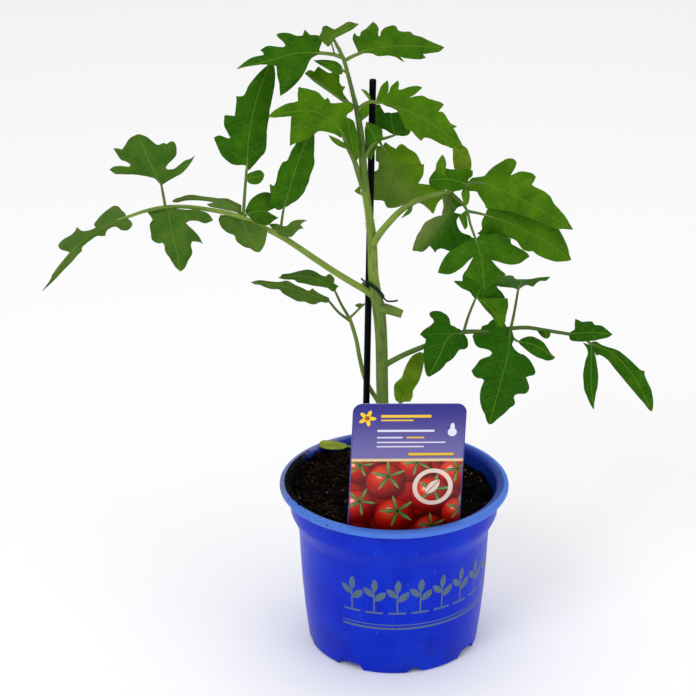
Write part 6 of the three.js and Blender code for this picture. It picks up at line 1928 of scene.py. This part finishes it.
class TOMATO_OT_soil(Piece, bpy.types.Operator):
    """Adds the heaped dark peat with its clods and fibres"""

    bl_idname = "tomato.add_soil"
    bl_label = "Add Soil"

    def execute(self, context):
        clear_selection()
        bpy.ops.mesh.primitive_grid_add(
            x_subdivisions=SOIL_GRID, y_subdivisions=SOIL_GRID, size=2 * SOIL_RADIUS * MM,
            location=(0, 0, SOIL_LEVEL * MM),
        )
        soil = bpy.context.object
        apply_place()
        bpy.ops.object.mode_set(mode="EDIT")
        pick(soil, lambda spot: math.hypot(*spot.xy) > (SOIL_RADIUS - 0.7) * MM)
        bpy.ops.mesh.delete(type="VERT")
        bpy.ops.object.mode_set(mode="OBJECT")
        places = np.empty(3 * len(soil.data.vertices))
        soil.data.vertices.foreach_get("co", places)
        places[2::3] = soil_top(places[0::3] / MM, places[1::3] / MM) * MM
        soil.data.vertices.foreach_set("co", places)
        for pattern, size, height in SOIL_LAYERS:
            roughen(soil, pattern, size, height, direction="Z")
        bpy.ops.object.mode_set(mode="EDIT")
        bpy.ops.mesh.select_all(action="DESELECT")
        bpy.ops.mesh.select_mode(type="EDGE")
        bpy.ops.mesh.select_non_manifold(extend=False)
        extrude((0, 0, -8 * MM), (0.9, 0.9, 0), (0, 0, SOIL_NECK * MM))
        extrude((0, 0, (SOIL_FLOOR - SOIL_NECK) * MM), (0.86, 0.86, 1))
        bpy.ops.mesh.edge_face_add()
        bpy.ops.mesh.select_all(action="SELECT")
        bpy.ops.mesh.normals_make_consistent(inside=False)
        bpy.ops.mesh.select_mode(type="VERT")
        bpy.ops.object.mode_set(mode="OBJECT")
        smooth(soil, 60)
        settle(soil, "peat")
        finish_piece(soil, "soil", "soil", peat_finish())
        self.crumbs(soil)
        self.fibres()
        return {"FINISHED"}

    def crumbs(self, soil):
        """Lumps strewn over the peat, banked against the wall and spilled on the lip: copies of three."""
        chance = random.Random(11)
        kinds = []
        for size in LUMP_SIZES:
            clear_selection()
            bpy.ops.mesh.primitive_ico_sphere_add(subdivisions=2, radius=size * MM, location=(0, 0, 0))
            kinds.append(bpy.context.object)
            roughen(kinds[-1], "CLOUDS", 0.9 * size, 1.1 * size)
            bpy.ops.object.shade_smooth()
        copies = []

        def lay(kind, reach, turn, grow, height=lambda ground: ground):
            """Lays a lump down, turned and squashed at random, at a height worked out from the soil's."""
            x, y = reach * math.cos(turn), reach * math.sin(turn)
            lump = kind.copy()
            lump.data = kind.data.copy()
            lump.location = (x * MM, y * MM, (height(soil_top(x, y)) + 0.3 * grow) * MM)
            lump.rotation_euler = [chance.uniform(0, 6) for _ in range(3)]
            lump.scale = (grow * chance.uniform(0.8, 1.3), grow, grow * chance.uniform(0.6, 1.0))
            link(lump)
            copies.append(lump)

        def growth(least, more):
            """A size from the least up to more than that, mostly small."""
            return least + more * chance.random() ** 2

        for number in range(LUMP_COUNT + CRUMB_COUNT):
            kind = chance.choice(kinds)
            reach = STREWN_REACH * math.sqrt(chance.random())
            turn = chance.uniform(0, 2 * math.pi)
            lay(kind, reach, turn, growth(*(LUMP_GROWTH if number < LUMP_COUNT else CRUMB_GROWTH)))
        for _ in range(BANK_COUNT):
            kind = chance.choice(kinds)
            share = chance.random()
            turn = BANK_TURN + chance.gauss(0, BANK_SPREAD)
            grow = growth(*BANK_GROWTH)
            reach = BANK_REACH + BANK_DEPTH * share
            lay(kind, reach, turn, grow, lambda ground: ground + (RIM_HEIGHT - 0.9 - ground) * share)
        for _ in range(SPILL_COUNT):
            kind = chance.choice(kinds)
            share = chance.random() ** 1.6
            turn = BANK_TURN + chance.gauss(0, SPILL_SPREAD)
            grow = growth(*SPILL_GROWTH)
            top = RIM_HEIGHT - 0.15 if share > 0.3 else RIM_HEIGHT - 1.2 + 3.5 * share
            lay(kind, SPILL_REACH + SPILL_WIDTH * share, turn, grow, lambda ground: top)
        clods = join(copies)
        for kind in kinds:
            bpy.data.objects.remove(kind)
        settle(clods, "peat_clods")
        clods.data.materials.clear()
        clods.data.materials.append(soil.data.materials[0])
        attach(clods, "root")

    def fibres(self):
        """Short brown roots and fibres that lie on the peat."""
        chance = random.Random(23)
        mesh = empty_mesh()
        for number in range(LONG_FIBRE_COUNT + FIBRE_COUNT):
            reach = FIBRE_REACH * math.sqrt(chance.random())
            turn = chance.uniform(0, 2 * math.pi)
            x, y = reach * math.cos(turn), reach * math.sin(turn)
            heading = chance.uniform(0, 2 * math.pi)
            kind = LONG_FIBRE if number < LONG_FIBRE_COUNT else FIBRE
            length = chance.uniform(*kind["length"])
            bow = chance.uniform(-FIBRE_BOW, FIBRE_BOW)
            thick = chance.uniform(*kind["thick"])
            centres = []
            for step in range(FIBRE_STEPS + 1):
                share = step / FIBRE_STEPS
                way = heading + bow * share
                px = x + math.cos(way) * length * (share - 0.5)
                py = y + math.sin(way) * length * (share - 0.5)
                if math.hypot(px, py) > FIBRE_LIMIT:
                    break
                lift = 0.5 + 1.4 * math.sin(math.pi * share) * chance.uniform(0.6, 1.0)
                centres.append(Vector((px, py, soil_top(px, py) + lift)) * MM)
            if len(centres) > FIBRE_STEPS:
                from_middle = (abs(2 * step / FIBRE_STEPS - 1) for step in range(FIBRE_STEPS + 1))
                tube(mesh, centres, [thick * MM * (1 - 0.5 * share) for share in from_middle], 5, slot=0)
        fibres = object_of(mesh, "peat_fibres")
        fibres.data.materials.append(fibre_finish())
        settle(fibres, "peat_fibres")
        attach(fibres, "root")


class TOMATO_OT_stem(Piece, bpy.types.Operator):
    """Adds the main stem with its grooves, the stub of a cut stalk and its buds"""

    bl_idname = "tomato.add_stem"
    bl_label = "Add Stem"

    def execute(self, context):
        stem = foliage("main_stem", [CUT_STALK], STEM_BLADES, 90)
        mesh = empty_mesh()
        stalk_tube(mesh, STEM_PATH, STEM_RADII, STEM_TONES_AND_SHADE, 32, 0.07)
        hairs(mesh, stalk_curve(STEM_PATH), STEM_RADII, STEM_HAIRS, 5)
        trunk = join([stem, plant_object(mesh, "trunk")])
        settle(trunk, "main_stem")
        finish_piece(trunk, "stem", "stem")
        return {"FINISHED"}


class TOMATO_OT_stake(Piece, bpy.types.Operator):
    """Adds the thin black rod behind the stem"""

    bl_idname = "tomato.add_stake"
    bl_label = "Add Stake"

    def execute(self, context):
        foot, top = (place(point) for point in ROD_ENDS)
        turn = (top - foot).to_track_quat("Z", "Y").to_euler()
        clear_selection()
        bpy.ops.mesh.primitive_cylinder_add(
            vertices=40, radius=ROD_RADIUS * MM, depth=(top - foot).length, location=(foot + top) / 2,
            rotation=turn,
        )
        rod = bpy.context.object
        modify(rod, "BEVEL", width=0.35 * MM, segments=3, limit_method="ANGLE")
        settle(rod, "black_rod")
        smooth(rod, 35)
        finish_piece(rod, "stake", "stake", rod_finish())
        return {"FINISHED"}


class TOMATO_OT_tie(Piece, bpy.types.Operator):
    """Adds the coated wire that ties the stem to the rod"""

    bl_idname = "tomato.add_tie"
    bl_label = "Add Tie"

    def execute(self, context):
        mesh = empty_mesh()
        centres = stalk_curve(WIRE_PATH)
        tube(mesh, centres, [WIRE_RADIUS * MM] * len(centres), 10, slot=0)
        wire = object_of(mesh, "tie_wire")
        smooth(wire, 50)
        settle(wire, "tie_wire")
        finish_piece(wire, "tie", "tie", wire_finish())
        return {"FINISHED"}


class TOMATO_OT_label(Piece, bpy.types.Operator):
    """Adds the printed plastic label with its foot in the soil"""

    bl_idname = "tomato.add_label"
    bl_label = "Add Label"

    def execute(self, context):
        clear_selection()
        bpy.ops.mesh.primitive_plane_add(size=1, location=(0, LABEL_HEIGHT / 2 * MM, 0))
        label = bpy.context.object
        label.scale = (LABEL_WIDTH * MM, LABEL_HEIGHT * MM, 1)
        apply_place()
        bpy.ops.object.mode_set(mode="EDIT")
        pick(label, lambda spot: spot.y < MM)
        reach = 0.0
        half = LABEL_WIDTH / 2
        foot_half = LABEL_FOOT_WIDTH / 2
        for down, next_half in (
            (LABEL_SHOULDER, foot_half), (LABEL_FOOT * 0.75, foot_half), (LABEL_FOOT, LABEL_TIP / 2)
        ):
            extrude((0, (reach - down) * MM, 0), (next_half / half, 1, 1))
            reach, half = down, next_half
        pick(label, lambda spot: spot.y > (LABEL_HEIGHT - 1) * MM)
        bpy.ops.mesh.bevel(offset=LABEL_CORNER * MM, segments=10, affect="VERTICES")
        bpy.ops.object.mode_set(mode="OBJECT")
        modify(label, "SOLIDIFY", thickness=LABEL_THICKNESS * MM, offset=0)
        limit = math.radians(40)
        modify(label, "BEVEL", width=0.18 * MM, segments=2, limit_method="ANGLE", angle_limit=limit)
        printed = label.data.attributes.new("print_place", "FLOAT_VECTOR", "POINT")
        for index, corner in enumerate(label.data.vertices):
            printed.data[index].vector = corner.co / MM
        standing = Matrix.Rotation(LABEL_TURN, 4, "Z") @ Matrix.Rotation(math.pi / 2, 4, "X")
        rolled = standing @ Matrix.Rotation(-LABEL_ROLL, 4, "Z")
        label.matrix_world = Matrix.Translation(LABEL_FOOT_CENTRE * MM) @ rolled
        settle(label, "plant_label")
        smooth(label, 35)
        finish_piece(label, "label", "label", label_finish())
        return {"FINISHED"}


class TOMATO_OT_leaves(Piece, bpy.types.Operator):
    """Adds the ten cut leaves and the two seed leaves, with their stalks and veins"""

    bl_idname = "tomato.add_leaves"
    bl_label = "Add Leaves"

    def execute(self, context):
        for number, (node, parts) in enumerate(LEAVES.items()):
            stalks, leaflets = ([part for part in parts if word in part] for word in ("path", "rib"))
            leaf = foliage("foliage_" + node, stalks, leaflets, 10 * number)
            finish_piece(leaf, node, "seed_leaf" if node.startswith("seed") else "leaf")
        return {"FINISHED"}


class TOMATO_OT_stage(Piece, bpy.types.Operator):
    """Adds the pale floor, the soft lights and the camera at the photograph's place"""

    bl_idname = "tomato.add_stage"
    bl_label = "Add Stage"

    def execute(self, context):
        choice = setting("tomato_stage")
        clear_selection()
        bpy.ops.mesh.primitive_plane_add(size=8, location=(0, 0, -0.1 * MM))
        floor = bpy.context.object
        floor.name = "floor"
        floor.data.materials.append(floor_finish(choice.floor_colour))

        world = bpy.data.worlds.new("studio")
        context.scene.world = world
        world.use_nodes = True
        sky = world.node_tree.nodes["Background"]
        sky.inputs["Color"].default_value = (1.0, 1.0, 1.0, 1.0)
        sky.inputs["Strength"].default_value = choice.sky

        lamps = (
            ("key_light", (-0.75, -1.1, 1.35), 0.7, choice.key_power),
            ("fill_light", (1.1, -0.9, 0.7), 1.0, choice.fill_power),
            ("top_light", (0.1, 0.5, 1.6), 1.0, choice.fill_power),
        )
        for name, spot, size, power in lamps:
            lamp = bpy.data.lights.new(name, "AREA")
            lamp.energy = power
            lamp.size = size
            holder = bpy.data.objects.new(name, lamp)
            holder.location = spot
            holder.rotation_euler = (Vector((0, 0, 0.15)) - Vector(spot)).to_track_quat("-Z", "Y").to_euler()
            link(holder)

        lens = bpy.data.cameras.new("camera")
        lens.sensor_width = SENSOR_WIDTH
        lens.lens = FOCAL_LENGTH / PHOTO_WIDTH * SENSOR_WIDTH
        lens.clip_end = 10
        camera = bpy.data.objects.new("camera", lens)
        camera.location = EYE * MM
        camera.rotation_euler = (math.pi / 2 - VIEW_DROP, 0, 0)
        link(camera)
        context.scene.camera = camera
        context.scene.view_settings.view_transform = "Standard"
        return {"FINISHED"}


# The add-on


class TOMATO_PT_pieces(bpy.types.Panel):
    """Lists the pieces of the potted plant, with their sizes and colours"""

    bl_label = "Tomato plant"
    bl_idname = "TOMATO_PT_pieces"
    bl_space_type = "VIEW_3D"
    bl_region_type = "UI"
    bl_category = "Tomato plant"

    def draw(self, context):
        for operator in OPERATORS:
            self.layout.operator(operator.bl_idname)
        for name, (group, title) in SETTINGS.items():
            self.layout.label(text=title)
            for label in group.__annotations__:
                self.layout.prop(getattr(context.scene, name), label)


SETTINGS = {
    "tomato_pot": (TOMATO_PG_pot, "Pot"),
    "tomato_plant": (TOMATO_PG_plant, "Plant"),
    "tomato_label": (TOMATO_PG_label, "Label"),
    "tomato_stage": (TOMATO_PG_stage, "Stage"),
}
OPERATORS = (
    TOMATO_OT_pot, TOMATO_OT_soil, TOMATO_OT_stem, TOMATO_OT_stake, TOMATO_OT_tie, TOMATO_OT_label,
    TOMATO_OT_leaves, TOMATO_OT_stage,
)


def register():
    """Adds the settings, the operators and the panel."""
    for name, (group, _) in SETTINGS.items():
        bpy.utils.register_class(group)
        setattr(bpy.types.Scene, name, bpy.props.PointerProperty(type=group))
    for operator in OPERATORS:
        bpy.utils.register_class(operator)
    bpy.utils.register_class(TOMATO_PT_pieces)


def unregister():
    """Takes the panel, the operators and the settings out again."""
    bpy.utils.unregister_class(TOMATO_PT_pieces)
    for operator in reversed(OPERATORS):
        bpy.utils.unregister_class(operator)
    for name, (group, _) in SETTINGS.items():
        delattr(bpy.types.Scene, name)
        bpy.utils.unregister_class(group)


def main():
    """Adds every piece and the stage."""
    register()
    bpy.ops.tomato.add_pot()
    bpy.ops.tomato.add_soil()
    bpy.ops.tomato.add_stem()
    bpy.ops.tomato.add_stake()
    bpy.ops.tomato.add_tie()
    bpy.ops.tomato.add_label()
    bpy.ops.tomato.add_leaves()
    bpy.ops.tomato.add_stage()


if __name__ == "__main__":
    main()
